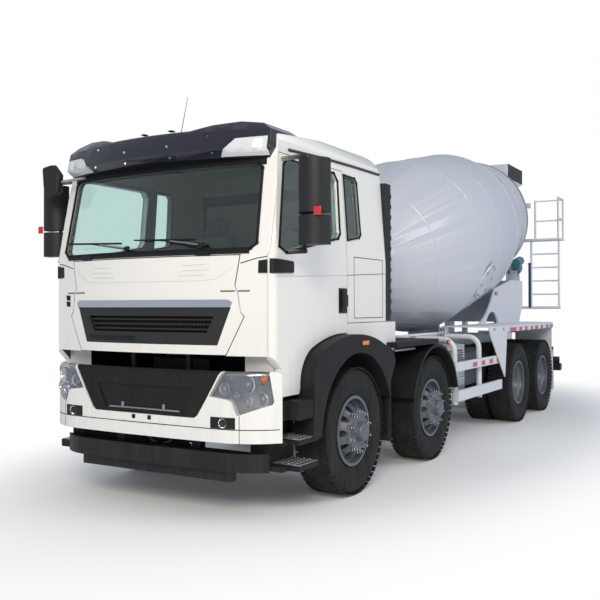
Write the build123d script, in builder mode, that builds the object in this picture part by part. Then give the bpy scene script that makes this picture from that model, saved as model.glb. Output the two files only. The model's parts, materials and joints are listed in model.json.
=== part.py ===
from build123d import *
import os
from math import cos, hypot, radians, sin, sqrt, tan

# Concrete mixer truck with four axles, tilting cab and rear discharge.
# Millimetres. X points to the vehicle's left, Y to its rear, Z up; the origin is on the
# ground, at the middle of the overall length and width.

# ---- Driving dimensions ---------------------------------------------------------------
front_overhang = 1360
steered_gap = 1800
middle_gap = 3200
bogie_gap = 1350
rear_overhang = 2530
body_width = 2500

tyre_diameter = 1084
tyre_width = 300
rim_radius = 286
rim_width = 250
steered_track = 2090
driven_track = 1830
twin_spacing = 345
kingpin_inset = 170
tyre_wall = 24

frame_width = 850
frame_height = 300
frame_top = 1040
rail_flange = 80
rail_wall = 12
subframe_height = 120

cab_width = 2240
cab_floor = 1235
cab_sill = 2010
cab_top = 3020
cab_wall = 50
windscreen_lean = 11.5
tumblehome = 60
door_wall = 60
door_reach = 125
door_flange = 70
door_gap = 6
glass_wall = 6

bumper_bottom = 600
bumper_top = 1125
bumper_wall = 45
bumper_half = 1145
bumper_flat = 740
bumper_bow = 22
bumper_depth = 240
bumper_rim = 40

drum_radius = 1136
drum_wall = 12
drum_tilt = 12.34
drum_height = 2441
drum_front_cone = 1750
drum_barrel = 1620
drum_rear_cone = 1770
drum_front_radius = 630
drum_mouth_radius = 790
ring_radius = 935
ring_width = 90
roller_radius = 120
roller_angle = 40

deck_top = 1347
deck_inner = 650

running_gap = 0.3
pin_gap = 1.0
seat_gap = 5

# ---- Derived stations -----------------------------------------------------------------
overall_length = front_overhang + steered_gap + middle_gap + bogie_gap + rear_overhang
front_end = -overall_length / 2
rear_end = overall_length / 2
axle_1 = front_end + front_overhang
axle_2 = axle_1 + steered_gap
axle_3 = axle_2 + middle_gap
axle_4 = axle_3 + bogie_gap
bogie_centre = (axle_3 + axle_4) / 2
wheel_height = tyre_diameter / 2
half_width = body_width / 2
half_cab = cab_width / 2
frame_half = frame_width / 2
frame_bottom = frame_top - frame_height
subframe_top = frame_top + subframe_height
frame_rear = axle_4 + 1150

bumper_side = front_end + bumper_depth
cab_front = axle_1 - 1330
cab_corner = axle_1 - 1205
cab_rear = axle_1 + 760
firewall = cab_front + 190
door_front = axle_1 - 1198
door_rear = axle_1 - 30
arch_centre = axle_1 - 30
arch_radius = 660
arch_2_radius = 628
arch_height = 550
flare_inner = half_cab - 60
flare_outer = half_width - 10

drum_axis = Vector(0, cos(radians(drum_tilt)), sin(radians(drum_tilt)))
drum_centre = Vector(0, axle_1 + 4000, drum_height)
barrel_front = -340
barrel_rear = barrel_front + drum_barrel
drum_front = barrel_front - drum_front_cone
drum_mouth = barrel_rear + drum_rear_cone
ring_station = drum_mouth - 430
head_depth = 150

os.makedirs("parts", exist_ok=True)


# ---- Shared operations ----------------------------------------------------------------
def finish(piece, label):
    """Name a finished piece and write it."""
    piece.part.label = label
    export_step(piece.part, f"parts/{label}.step")


def block(x_span, y_span, z_span, mode=Mode.ADD):
    """A box between two limits along each axis."""
    centre = [sum(span) / 2 for span in (x_span, y_span, z_span)]
    size = [abs(span[1] - span[0]) for span in (x_span, y_span, z_span)]
    with Locations(tuple(centre)):
        Box(*size, mode=mode)


def bar(start, end, radius, mode=Mode.ADD):
    """A round bar between two points."""
    run = Vector(*end) - Vector(*start)
    with BuildSketch(Plane(origin=start, z_dir=run)) as section:
        Circle(radius)
    extrude(section.sketch, amount=run.length, mode=mode)


def bent_tube(points, radius, bend):
    """A round tube along straight runs joined by bends."""
    with BuildLine() as route:
        FilletPolyline(*points, radius=bend)
    with BuildSketch(Plane(origin=route.line @ 0, z_dir=route.line % 0)) as section:
        Circle(radius)
    sweep(section.sketch, path=route.line)


def side_plane(x):
    """A plane seen from the vehicle's left: local x runs to the rear, local y up."""
    return Plane(origin=(x, 0, 0), x_dir=(0, 1, 0), z_dir=(1, 0, 0))


def front_plane(y):
    """A plane seen from the front: local x runs to the vehicle's left, local y up."""
    return Plane(origin=(0, y, 0), x_dir=(1, 0, 0), z_dir=(0, -1, 0))


def wheel_plane(side, x, y):
    """A plane through a wheel's axis: local x points outwards, local y up."""
    return Plane(origin=(side * x, y, wheel_height), x_dir=(side, 0, 0), z_dir=(0, -side, 0))


def drum_point(station, sideways=0.0, lift=0.0):
    """A point by its station along the drum's axis and its offsets from that axis."""
    up = Vector(0, -drum_axis.Z, drum_axis.Y)
    return drum_centre + drum_axis * station + up * lift + Vector(sideways, 0, 0)


drum_plane = Plane(origin=drum_centre, x_dir=drum_axis, z_dir=(1, 0, 0))


# ---- Wheels and tyres -----------------------------------------------------------------
def tyre_section(plane, offset):
    """Revolve one tyre about its wheel's axis; offset is along the axle, outwards."""
    outer = tyre_diameter / 2
    half = tyre_width / 2
    bead = rim_width / 2 - 22
    with BuildSketch(plane) as section:
        with BuildLine():
            Polyline(
                (offset - bead, rim_radius),
                (offset - bead - 8, rim_radius + 24),
            )
            ThreePointArc(
                (offset - bead - 8, rim_radius + 24),
                (offset - half, (outer + rim_radius) / 2 + 8),
                (offset - half + 14, outer - 34),
            )
            Polyline(
                (offset - half + 14, outer - 34),
                (offset - half + 34, outer - 6),
                (offset, outer),
                (offset + half - 34, outer - 6),
                (offset + half - 14, outer - 34),
            )
            ThreePointArc(
                (offset + half - 14, outer - 34),
                (offset + half, (outer + rim_radius) / 2 + 8),
                (offset + bead + 8, rim_radius + 24),
            )
            Polyline(
                (offset + bead + 8, rim_radius + 24),
                (offset + bead, rim_radius),
                (offset + bead - tyre_wall, rim_radius),
                (offset + half - 10 - tyre_wall, (outer + rim_radius) / 2),
                (offset + half - 40, outer - 6 - tyre_wall - 14),
                (offset - half + 40, outer - 6 - tyre_wall - 14),
                (offset - half + 10 + tyre_wall, (outer + rim_radius) / 2),
                (offset - bead + tyre_wall, rim_radius),
                (offset - bead, rim_radius),
            )
        make_face()
    revolve(section.sketch, axis=Axis(plane.origin, plane.x_dir))


def rim_section(plane, offset):
    """Revolve the rim's barrel with its two flanges."""
    half = rim_width / 2
    well = rim_radius - 34
    with BuildSketch(plane) as section:
        with BuildLine():
            Polyline(
                (offset - half, rim_radius + 13),
                (offset - half + 12, rim_radius + 13),
                (offset - half + 14, rim_radius - running_gap),
                (offset - half + 60, rim_radius - running_gap - 4),
                (offset - half + 84, well + 8),
                (offset + half - 84, well + 8),
                (offset + half - 60, rim_radius - running_gap - 4),
                (offset + half - 14, rim_radius - running_gap),
                (offset + half - 12, rim_radius + 13),
                (offset + half, rim_radius + 13),
                (offset + half, rim_radius - 12),
                (offset + half - 56, rim_radius - 16),
                (offset + half - 80, well - 4),
                (offset - half + 80, well - 4),
                (offset - half + 56, rim_radius - 16),
                (offset - half, rim_radius - 12),
                close=True,
            )
        make_face()
    revolve(section.sketch, axis=Axis(plane.origin, plane.x_dir))


hub_bore = 45
stub_radius = hub_bore - pin_gap
drum_brake_radius = 205
disc_wall = 14
hand_hole = 27
hand_hole_circle = 196
hand_holes = 10


def wheel_disc(plane, rim_station, face_station):
    """Revolve a wheel's dished disc from the rim's well to the hub face."""
    edge = rim_radius - 36
    dished_in = face_station < rim_station
    front_radius = 155 if dished_in else 160
    back_radius = 170 if dished_in else 153
    back_station = rim_station - disc_wall - (10 if dished_in else 2)
    with BuildSketch(plane) as section:
        with BuildLine():
            Polyline(
                (rim_station, edge),
                (face_station, front_radius),
                (face_station, hub_bore),
                (face_station - disc_wall, hub_bore),
                (face_station - disc_wall, back_radius),
                (back_station, edge - 6),
                (back_station, edge),
                close=True,
            )
        make_face()
    revolve(section.sketch, axis=Axis(plane.origin, plane.x_dir))


def hand_hole_cuts(plane, low, high):
    """Cut the ring of hand holes through a wheel's disc."""
    hole_plane = Plane(origin=plane.origin, x_dir=(0, 1, 0), z_dir=plane.x_dir)
    with BuildSketch(hole_plane.offset(low)) as section:
        with PolarLocations(hand_hole_circle, hand_holes):
            Circle(hand_hole)
    extrude(section.sketch, amount=high - low, mode=Mode.SUBTRACT)


def hub_section(plane, points):
    """Revolve a hub or brake drum from a closed outline of (station, radius)."""
    with BuildSketch(plane) as section:
        with BuildLine():
            Polyline(*points, close=True)
        make_face()
    revolve(section.sketch, axis=Axis(plane.origin, plane.x_dir))


steered_face = 168
backplate_station = -128
steered_wheels = (
    ("1_left", 1, axle_1),
    ("1_right", -1, axle_1),
    ("2_left", 1, axle_2),
    ("2_right", -1, axle_2),
)
driven_wheels = (
    ("3_left", 1, axle_3),
    ("3_right", -1, axle_3),
    ("4_left", 1, axle_4),
    ("4_right", -1, axle_4),
)

for wheel_name, side, axle in steered_wheels:
    hub_line = wheel_plane(side, steered_track / 2, axle)
    with BuildPart() as wheel:
        rim_section(hub_line, 0)
        wheel_disc(hub_line, 38, steered_face)
        hand_hole_cuts(hub_line, 20, steered_face - 4)
        hub_section(
            hub_line,
            (
                (backplate_station + 8, drum_brake_radius),
                (10, drum_brake_radius),
                (30, 150),
                (steered_face, 120),
                (steered_face + 6, 84),
                (steered_face + 62, 78),
                (steered_face + 70, 60),
                (steered_face + 70, 0),
                (steered_face + 54, 0),
                (steered_face + 54, hub_bore),
                (-50, hub_bore),
                (-50, 90),
                (-20, drum_brake_radius - 16),
                (backplate_station + 8, drum_brake_radius - 16),
            ),
        )
    finish(wheel, f"wheel_{wheel_name}")
    with BuildPart() as tyre:
        tyre_section(hub_line, 0)
    finish(tyre, f"tyre_{wheel_name}")

axle_tube = 78
for wheel_name, side, axle in driven_wheels:
    hub_line = wheel_plane(side, driven_track / 2, axle)
    near = -twin_spacing / 2
    far = twin_spacing / 2
    with BuildPart() as wheel:
        rim_section(hub_line, near)
        rim_section(hub_line, far)
        wheel_disc(hub_line, far - 10, disc_wall)
        hub_section(
            hub_line,
            (
                (near - 6, rim_radius - 36),
                (near - 6 + disc_wall + 2, rim_radius - 36),
                (0, 155),
                (0, hub_bore),
                (-disc_wall, hub_bore),
                (-disc_wall, 160),
                (near - 6, rim_radius - 46),
            ),
        )
        hand_hole_cuts(hub_line, near, far)
        hub_section(
            hub_line,
            (
                (near - 60, drum_brake_radius),
                (-20, drum_brake_radius - 30),
                (-disc_wall, 140),
                (disc_wall, 140),
                (disc_wall + 8, 118),
                (disc_wall + 110, 112),
                (disc_wall + 128, 84),
                (disc_wall + 128, 0),
                (disc_wall + 100, 0),
                (disc_wall + 100, axle_tube + 2),
                (-60, axle_tube + 2),
                (-60, drum_brake_radius - 50),
                (near - 60, drum_brake_radius - 20),
            ),
        )
    finish(wheel, f"wheel_{wheel_name}")
    with BuildPart() as tyre:
        tyre_section(hub_line, near)
        tyre_section(hub_line, far)
    finish(tyre, f"tyre_{wheel_name}")


# ---- Steering: knuckles on kingpins, joined by tie rods --------------------------------
kingpin_x = steered_track / 2 - kingpin_inset
kingpin_radius = 25
eye_height = 120
eye_radius = 55
lug_height = 50
lug_gap = 3
fork_top = wheel_height + eye_height / 2 + lug_gap + lug_height
fork_bottom = wheel_height - eye_height / 2 - lug_gap - lug_height
arm_length = 200
tie_pin_radius = 14
tie_rod_height = fork_bottom - 34
tie_rod_radius = 22
arm_wall = 26

for wheel_name, side, axle in steered_wheels:
    hub_line = wheel_plane(side, steered_track / 2, axle)
    outwards = side * kingpin_x
    with BuildPart() as knuckle:
        with Locations((outwards, axle, (fork_top + fork_bottom) / 2)):
            Cylinder(kingpin_radius, fork_top - fork_bottom)
        for low in (fork_bottom, fork_top - lug_height):
            with Locations((outwards, axle, low + lug_height / 2)):
                Cylinder(eye_radius - 5, lug_height)
            block((outwards, outwards + side * 84), (axle - 50, axle + 50), (low, low + lug_height))
        block(
            (outwards + side * 62, outwards + side * 100),
            (axle - 62, axle + 62),
            (fork_bottom, fork_top),
        )
        hub_section(
            hub_line,
            (
                (-kingpin_inset + 70, 0),
                (-kingpin_inset + 70, 60),
                (-60, 60),
                (-50 - seat_gap, stub_radius),
                (steered_face + 40, stub_radius - 10),
                (steered_face + 40, 0),
            ),
        )
        hub_section(
            hub_line,
            (
                (backplate_station + 40, 40),
                (backplate_station + 40, drum_brake_radius - 24),
                (backplate_station + 28, drum_brake_radius - 24),
                (backplate_station + 28, 40),
            ),
        )
        block(
            (outwards - side * 24, outwards + side * 24),
            (axle, axle + arm_length),
            (fork_bottom, fork_bottom + arm_wall),
        )
        with Locations((outwards, axle + arm_length, fork_bottom + arm_wall / 2)):
            Cylinder(30, arm_wall)
        with Locations((outwards, axle + arm_length, fork_bottom - 28)):
            Cylinder(tie_pin_radius, 58)
    finish(knuckle, f"knuckle_{wheel_name}")

for rod_name, axle in (("1", axle_1), ("2", axle_2)):
    rod_y = axle + arm_length
    with BuildPart() as tie_rod:
        bar((-kingpin_x, rod_y, tie_rod_height), (kingpin_x, rod_y, tie_rod_height), tie_rod_radius)
        for outwards in (-kingpin_x, kingpin_x):
            with Locations((outwards, rod_y, tie_rod_height)):
                Cylinder(34, 50)
        for outwards in (-kingpin_x, kingpin_x):
            with Locations((outwards, rod_y, tie_rod_height)):
                Cylinder(tie_pin_radius + pin_gap, 52, mode=Mode.SUBTRACT)
    finish(tie_rod, f"tie_rod_{rod_name}")


# ---- Axles and springs ----------------------------------------------------------------
spring_x = frame_half - 40
spring_width = 90
bogie_spring_x = frame_half + 10 + spring_width / 2
beam_drop = 60
housing_radius = 215
with BuildPart() as axles:
    for axle in (axle_1, axle_2):
        with BuildSketch(front_plane(axle - 45)):
            with BuildLine():
                Polyline(
                    (-kingpin_x, wheel_height + 55),
                    (-kingpin_x + 150, wheel_height + 40),
                    (-spring_x - 130, wheel_height + 60 - beam_drop),
                    (spring_x + 130, wheel_height + 60 - beam_drop),
                    (kingpin_x - 150, wheel_height + 40),
                    (kingpin_x, wheel_height + 55),
                    (kingpin_x, wheel_height - 55),
                    (kingpin_x - 150, wheel_height - 60),
                    (spring_x + 130, wheel_height - 60 - beam_drop),
                    (-spring_x - 130, wheel_height - 60 - beam_drop),
                    (-kingpin_x + 150, wheel_height - 60),
                    (-kingpin_x, wheel_height - 55),
                    close=True,
                )
            make_face()
        extrude(amount=-90)
        for outwards in (-kingpin_x, kingpin_x):
            with Locations((outwards, axle, wheel_height)):
                Cylinder(eye_radius, eye_height)
        for outwards in (-kingpin_x, kingpin_x):
            with Locations((outwards, axle, wheel_height)):
                Cylinder(kingpin_radius + pin_gap, eye_height + 2, mode=Mode.SUBTRACT)
        for outwards in (-spring_x, spring_x):
            with BuildSketch(side_plane(outwards - spring_width / 2)):
                with BuildLine():
                    ThreePointArc(
                        (axle - 780, frame_bottom - 60),
                        (axle, wheel_height + 40),
                        (axle + 780, frame_bottom - 60),
                    )
                    Line((axle + 780, frame_bottom - 60), (axle + 780, frame_bottom - 24))
                    ThreePointArc(
                        (axle + 780, frame_bottom - 24),
                        (axle, wheel_height + 100),
                        (axle - 780, frame_bottom - 24),
                    )
                    Line((axle - 780, frame_bottom - 24), (axle - 780, frame_bottom - 60))
                make_face()
            extrude(amount=spring_width)
            block(
                (outwards - 60, outwards + 60),
                (axle - 75, axle + 75),
                (wheel_height - beam_drop + 50, wheel_height + 60),
            )
            for end in (axle - 780, axle + 780):
                with BuildSketch(side_plane(outwards - spring_width / 2)):
                    with Locations((end, frame_bottom - 42)):
                        Circle(30)
                extrude(amount=spring_width)
                block(
                    (outwards - 20, outwards + 20),
                    (end - 30, end + 30),
                    (frame_bottom - 42, frame_bottom),
                )
    for axle in (axle_3, axle_4):
        bar(
            (-driven_track / 2 + 60, axle, wheel_height),
            (driven_track / 2 - 60, axle, wheel_height),
            axle_tube,
        )
        with BuildSketch(Plane(origin=(0, axle, wheel_height), x_dir=(1, 0, 0), z_dir=(0, -1, 0))):
            with BuildLine():
                ThreePointArc((-260, 60), (0, housing_radius), (260, 60))
                Line((260, 60), (260, 0))
                Line((260, 0), (-260, 0))
                Line((-260, 0), (-260, 60))
            make_face()
        revolve(axis=Axis((0, axle, wheel_height), (1, 0, 0)))
    bar((0, axle_2 + 516, frame_bottom + 40), (0, axle_3 - 180, wheel_height + 40), 55)
    bar((0, axle_3 + 150, wheel_height + 60), (0, axle_4 - 150, wheel_height + 60), 45)
    for outwards in (-bogie_spring_x, bogie_spring_x):
        with BuildSketch(side_plane(outwards - spring_width / 2)):
            with BuildLine():
                ThreePointArc(
                    (axle_3 - 60, wheel_height + 72),
                    (bogie_centre, wheel_height + 210),
                    (axle_4 + 60, wheel_height + 72),
                )
                Line((axle_4 + 60, wheel_height + 72), (axle_4 + 60, wheel_height + 100))
                ThreePointArc(
                    (axle_4 + 60, wheel_height + 100),
                    (bogie_centre, wheel_height + 310),
                    (axle_3 - 60, wheel_height + 100),
                )
                Line((axle_3 - 60, wheel_height + 100), (axle_3 - 60, wheel_height + 72))
            make_face()
        extrude(amount=spring_width)
        block(
            (outwards - 55, outwards + 55),
            (bogie_centre - 90, bogie_centre + 90),
            (wheel_height + 10, wheel_height + 225),
        )
    bar(
        (-bogie_spring_x - 50, bogie_centre, wheel_height + 60),
        (bogie_spring_x + 50, bogie_centre, wheel_height + 60),
        60,
    )
    for outwards in (-frame_half + 60, frame_half - 60):
        block(
            (outwards - 30, outwards + 30),
            (bogie_centre - 130, bogie_centre + 130),
            (wheel_height + 20, frame_bottom),
        )
finish(axles, "axles")


# ---- Bumper plan, shared by the bumper, its lamps and the bar below them -----------------
def bumper_form(inset, bottom, top):
    """The bumper's plan moved inwards by inset, raised between two heights."""
    shoulder = front_end + bumper_bow
    with BuildPart() as form:
        with BuildSketch(Plane.XY.offset(bottom)):
            with BuildLine() as plan:
                ThreePointArc((-bumper_flat, shoulder), (0, front_end), (bumper_flat, shoulder))
                lean = plan.line % 1
                corner = TangentArc((bumper_flat, shoulder), (bumper_half, bumper_side), tangent=lean)
                mirror(corner, about=Plane.YZ)
                Polyline(
                    (bumper_half, bumper_side),
                    (bumper_half, bumper_side + 200),
                    (-bumper_half, bumper_side + 200),
                    (-bumper_half, bumper_side),
                )
            make_face()
            if inset:
                offset(amount=-inset, kind=Kind.INTERSECTION)
        extrude(amount=top - bottom)
    return form.part


# ---- Chassis frame --------------------------------------------------------------------
frame_front = front_end + 190
under_bar_setback = 80
pivot_y = front_end + 150
pivot_height = 1060
pivot_radius = 28
cross_stations = (
    frame_front + 120,
    axle_1 + 950,
    axle_2 + 700,
    axle_2 + 1900,
    axle_3 - 500,
    bogie_centre,
    frame_rear - 60,
)
underrun_bottom = 290
with BuildPart() as under_bar:
    add(bumper_form(under_bar_setback, underrun_bottom + 80, underrun_bottom + 220))
    block((-half_width, half_width), (bumper_side - 5, bumper_side + 300), (200, 800), Mode.SUBTRACT)
with BuildPart() as chassis_frame:
    with BuildSketch(front_plane(frame_front)):
        with BuildLine():
            Polyline(
                (frame_half, frame_bottom),
                (frame_half, frame_top),
                (frame_half - rail_flange, frame_top),
                (frame_half - rail_flange, frame_top - rail_wall),
                (frame_half - rail_wall, frame_top - rail_wall),
                (frame_half - rail_wall, frame_bottom + rail_wall),
                (frame_half - rail_flange, frame_bottom + rail_wall),
                (frame_half - rail_flange, frame_bottom),
                close=True,
            )
        make_face()
        mirror(about=Plane.YZ)
    extrude(amount=-(frame_rear - frame_front))
    for station in cross_stations:
        block(
            (-frame_half + rail_wall, frame_half - rail_wall),
            (station - 40, station + 40),
            (frame_top - 170, frame_top - 60),
        )
    add(under_bar.part)
    block((-760, 760), (front_end + 130, front_end + 200), (underrun_bottom, underrun_bottom + 90))
    for outwards in (-frame_half + 40, frame_half - 40):
        block(
            (outwards - 40, outwards + 40),
            (frame_front, frame_front + 70),
            (underrun_bottom + 100, frame_bottom + 5),
        )
        block(
            (outwards - 40, outwards + 40),
            (pivot_y - 15, frame_front + 60),
            (pivot_height - 100, pivot_height),
        )
    bar((-frame_half, pivot_y, pivot_height), (frame_half, pivot_y, pivot_height), pivot_radius)
finish(chassis_frame, "chassis_frame")


# ---- Engine and gearbox, one plain block ----------------------------------------------
with BuildPart() as engine:
    block((-300, 300), (axle_1 - 880, axle_1 + 620), (640, 1180))
    block((-190, 190), (axle_1 + 620, axle_2 + 500), (640, 850))
    for outwards in (-frame_half + rail_wall, 300):
        block(
            (outwards, outwards + frame_half - rail_wall - 300),
            (axle_1 - 300, axle_1 - 180),
            (frame_bottom + 60, frame_bottom + 120),
        )
finish(engine, "engine")


# ---- Front bumper, its insert and the headlamps ----------------------------------------
lamp_outline = (
    (642, 937),
    (800, 919),
    (830, 900),
    (872, 802),
    (1096, 884),
    (1104, 907),
    (1082, 1091),
    (1056, bumper_top + 30),
    (778, bumper_top + 30),
)
insert_outline = (
    (-505, 768),
    (505, 768),
    (538, 790),
    (626, 930),
    (758, bumper_top + 30),
    (-758, bumper_top + 30),
    (-626, 930),
    (-538, 790),
)


def front_prism(outline, reach, both_sides):
    """A front-view outline, extruded rearwards from ahead of the bumper."""
    with BuildPart() as prism:
        with BuildSketch(front_plane(front_end - 60)):
            with BuildLine():
                Polyline(*outline, close=True)
            make_face()
            if both_sides:
                mirror(about=Plane.YZ)
        extrude(amount=-reach)
    return prism.part


def bumper_shell(setback):
    """The bumper's wall with a rounded upper edge, its outer face moved inwards."""
    with BuildPart() as shell:
        add(bumper_form(setback, bumper_bottom, bumper_top))
        upper_edges = shell.edges().group_by(Axis.Z)[-1].filter_by_position(Axis.Y, -1e6, bumper_side + 1)
        fillet(upper_edges, bumper_rim - setback)
        add(bumper_form(bumper_wall, bumper_bottom - 1, bumper_top + 1), mode=Mode.SUBTRACT)
        block((-half_width, half_width), (bumper_side, bumper_side + 300), (500, 1200), Mode.SUBTRACT)
    return shell.part


lamp_prism = front_prism(lamp_outline, 400, True)
insert_prism = front_prism(insert_outline, 400, False)
with BuildPart() as bumper:
    add(bumper_shell(0))
    add(lamp_prism, mode=Mode.SUBTRACT)
    add(insert_prism, mode=Mode.SUBTRACT)
    for outwards in (-frame_half + 40, frame_half - 40):
        block(
            (outwards - 30, outwards + 30),
            (front_end + bumper_wall + 2, frame_front),
            (620, 700),
        )
        block(
            (outwards - 30, outwards + 30),
            (frame_front - 30, frame_front),
            (620, frame_bottom + 120),
        )
finish(bumper, "bumper")

with BuildPart() as headlamps:
    add(bumper_shell(4))
    add(lamp_prism, mode=Mode.INTERSECT)
finish(headlamps, "headlamps")

recess_outline = (
    (-400, 800),
    (400, 800),
    (490, 990),
    (-490, 990),
)
with BuildPart() as bumper_grille:
    add(bumper_shell(14))
    add(insert_prism, mode=Mode.INTERSECT)
    with BuildSketch(front_plane(front_end - 60)):
        with BuildLine():
            Polyline(*recess_outline, close=True)
        make_face()
    extrude(amount=-(60 + bumper_wall - 14), mode=Mode.SUBTRACT)
finish(bumper_grille, "bumper_grille")


# ---- Cab form: plan, side and front outlines meet in one closed shape -------------------
def cab_form(inset, bottom):
    """The cab's closed outer form, moved inwards by inset and cut off at bottom."""
    half = half_cab - inset
    front = cab_front + inset
    corner = cab_corner + inset
    rear = cab_rear - inset
    top = cab_top - inset
    lean = tan(radians(windscreen_lean))
    crown = axle_1 + 60
    with BuildPart() as form:
        for low, high, slope in ((bottom, cab_sill, 0), (cab_sill, cab_top + 100, lean)):
            with BuildSketch(Plane.XY.offset(low)):
                with BuildLine():
                    ThreePointArc((-half + 60, corner), (0, front), (half - 60, corner))
                    ThreePointArc(
                        (half - 60, corner),
                        (half - 14, corner + 24),
                        (half, corner + 75),
                    )
                    Polyline((half, corner + 75), (half, rear), (-half, rear), (-half, corner + 75))
                    ThreePointArc(
                        (-half, corner + 75),
                        (-half + 14, corner + 24),
                        (-half + 60, corner),
                    )
                make_face()
            extrude(amount=high - low, dir=Vector(0, slope, 1))
        with BuildSketch(side_plane(-half_cab - 10)):
            with BuildLine():
                Polyline(
                    (crown, top),
                    (cab_front - 10, top - 150),
                    (cab_front - 10, bottom),
                    (rear, bottom),
                    (rear, top - 250),
                )
                ThreePointArc(
                    (rear, top - 250),
                    (rear - 70, top - 90),
                    (rear - 260, top - 14),
                )
                ThreePointArc(
                    (rear - 260, top - 14),
                    ((crown + rear - 260) / 2, top + 3),
                    (crown, top),
                )
            make_face()
        extrude(amount=cab_width + 20, mode=Mode.INTERSECT)
        with BuildSketch(front_plane(cab_front - 20)):
            with BuildLine():
                Polyline(
                    (-half, bottom),
                    (half, bottom),
                    (half, cab_sill),
                    (half - tumblehome, top - 190),
                )
                ThreePointArc(
                    (half - tumblehome, top - 190),
                    (half - tumblehome - 38, top - 62),
                    (half - tumblehome - 170, top - 14),
                )
                ThreePointArc(
                    (half - tumblehome - 170, top - 14),
                    (0, top + 4),
                    (-half + tumblehome + 170, top - 14),
                )
                ThreePointArc(
                    (-half + tumblehome + 170, top - 14),
                    (-half + tumblehome + 38, top - 62),
                    (-half + tumblehome, top - 190),
                )
                Line((-half + tumblehome, top - 190), (-half, cab_sill))
                Line((-half, cab_sill), (-half, bottom))
            make_face()
        extrude(amount=-(cab_rear - cab_front + 700), mode=Mode.INTERSECT)
    return form.part


# The foremost point of the flare's outline.
flare_nose_y = axle_1 - 809
flare_nose_height = 1018


def flare_sketch(spread):
    """The wheel-arch flare's outer outline, spread outwards, closed below the arch."""
    with BuildLine() as outline:
        Line((axle_1 - 830 - spread, 500), (axle_1 - 805 - spread, 948))
        ThreePointArc(
            (axle_1 - 805 - spread, 948),
            (axle_1 - 760 - spread, 1160 + spread / 2),
            (axle_1 - 631 - spread / 2, 1266 + spread),
        )
        ThreePointArc(
            (axle_1 - 631 - spread / 2, 1266 + spread),
            (axle_1 - 100, 1367 + spread),
            (axle_1 + 503 + spread / 2, 1251 + spread),
        )
        ThreePointArc(
            (axle_1 + 503 + spread / 2, 1251 + spread),
            (axle_1 + 660 + spread, 1190 + spread),
            (axle_1 + 720 + spread, 1090),
        )
        Polyline(
            (axle_1 + 720 + spread, 1090),
            (axle_1 + 600, 900),
            (axle_1 + 560, 500),
            (axle_1 - 830 - spread, 500),
        )
    make_face(outline.edges())


door_top = cab_top - 262
door_bottom = 932
door_toe = door_front + 105
pivot_lug = 285
skirt_top = 1456
skirt_rear = axle_1 + 985


def door_sketch(grow):
    """The door's outline in side view, grown by the gap round it."""
    with BuildLine() as outline:
        Polyline(
            (door_toe - grow, 1140 - grow),
            (door_front - grow, 1235 - grow),
            (door_front - grow, cab_sill - 30),
            (door_front + 158 - grow, door_top + grow),
            (door_rear + grow, door_top + grow),
            (door_rear + grow, 1300),
            (axle_1 - 700, door_bottom - grow),
            (door_toe - grow, door_bottom - grow),
            close=True,
        )
    make_face(outline.edges())


def door_prism(grow):
    """The left door's outline through the side wall; below the window it is a flange deep."""
    with BuildPart() as prism:
        with BuildSketch(side_plane(half_cab - door_reach - grow)):
            door_sketch(grow)
        extrude(amount=door_reach + grow + 60)
        block(
            (0, half_cab - door_flange - grow),
            (front_end, cab_rear),
            (0, cab_sill + 30 - grow),
            Mode.SUBTRACT,
        )
    return prism.part


cab_outside = cab_form(0, cab_floor)
cab_inside = cab_form(cab_wall, cab_floor + cab_wall)
flap_hinge_height = cab_sill - 20
flap_outline = (
    (-862, flap_hinge_height),
    (-820, 1760),
    (-845, 1690),
    (-865, 1560),
    (-895, 1530),
    (-745, cab_floor),
    (745, cab_floor),
    (895, 1530),
    (865, 1560),
    (845, 1690),
    (820, 1760),
    (862, flap_hinge_height),
)
flap_wall = 45
flap_gap = 7
screen_outline = (
    (-975, 2075),
    (-935, 2040),
    (935, 2040),
    (975, 2075),
    (955, 2640),
    (925, 2672),
    (-925, 2672),
    (-955, 2640),
)
quarter_outline = (
    (axle_1 + 5, 2178),
    (axle_1 + 225, 2214),
    (axle_1 + 250, 2240),
    (axle_1 + 240, 2690),
    (axle_1 + 210, 2723),
    (axle_1 + 5, 2728),
)
door_window_outline = (
    (door_front + 85, 2051),
    (door_front + 170, 2016),
    (door_rear - 150, 2180),
    (door_rear - 115, 2220),
    (door_rear - 100, 2660),
    (door_rear - 150, 2715),
    (door_front + 270, 2715),
    (door_front + 220, 2670),
)


def side_prism(outline, near, far):
    """A side-view outline, extruded along X between two distances on both sides."""
    with BuildPart() as prism:
        with BuildSketch(side_plane(near)):
            with BuildLine():
                Polyline(*outline, close=True)
            make_face()
        extrude(amount=far - near)
        mirror(about=Plane.YZ)
    return prism.part


quarter_prism = side_prism(quarter_outline, half_cab - 120, half_cab + 60)
screen_prism = front_prism(screen_outline, 800, False)
flap_prism = front_prism(flap_outline, 60 + (firewall - front_end), False)

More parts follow.
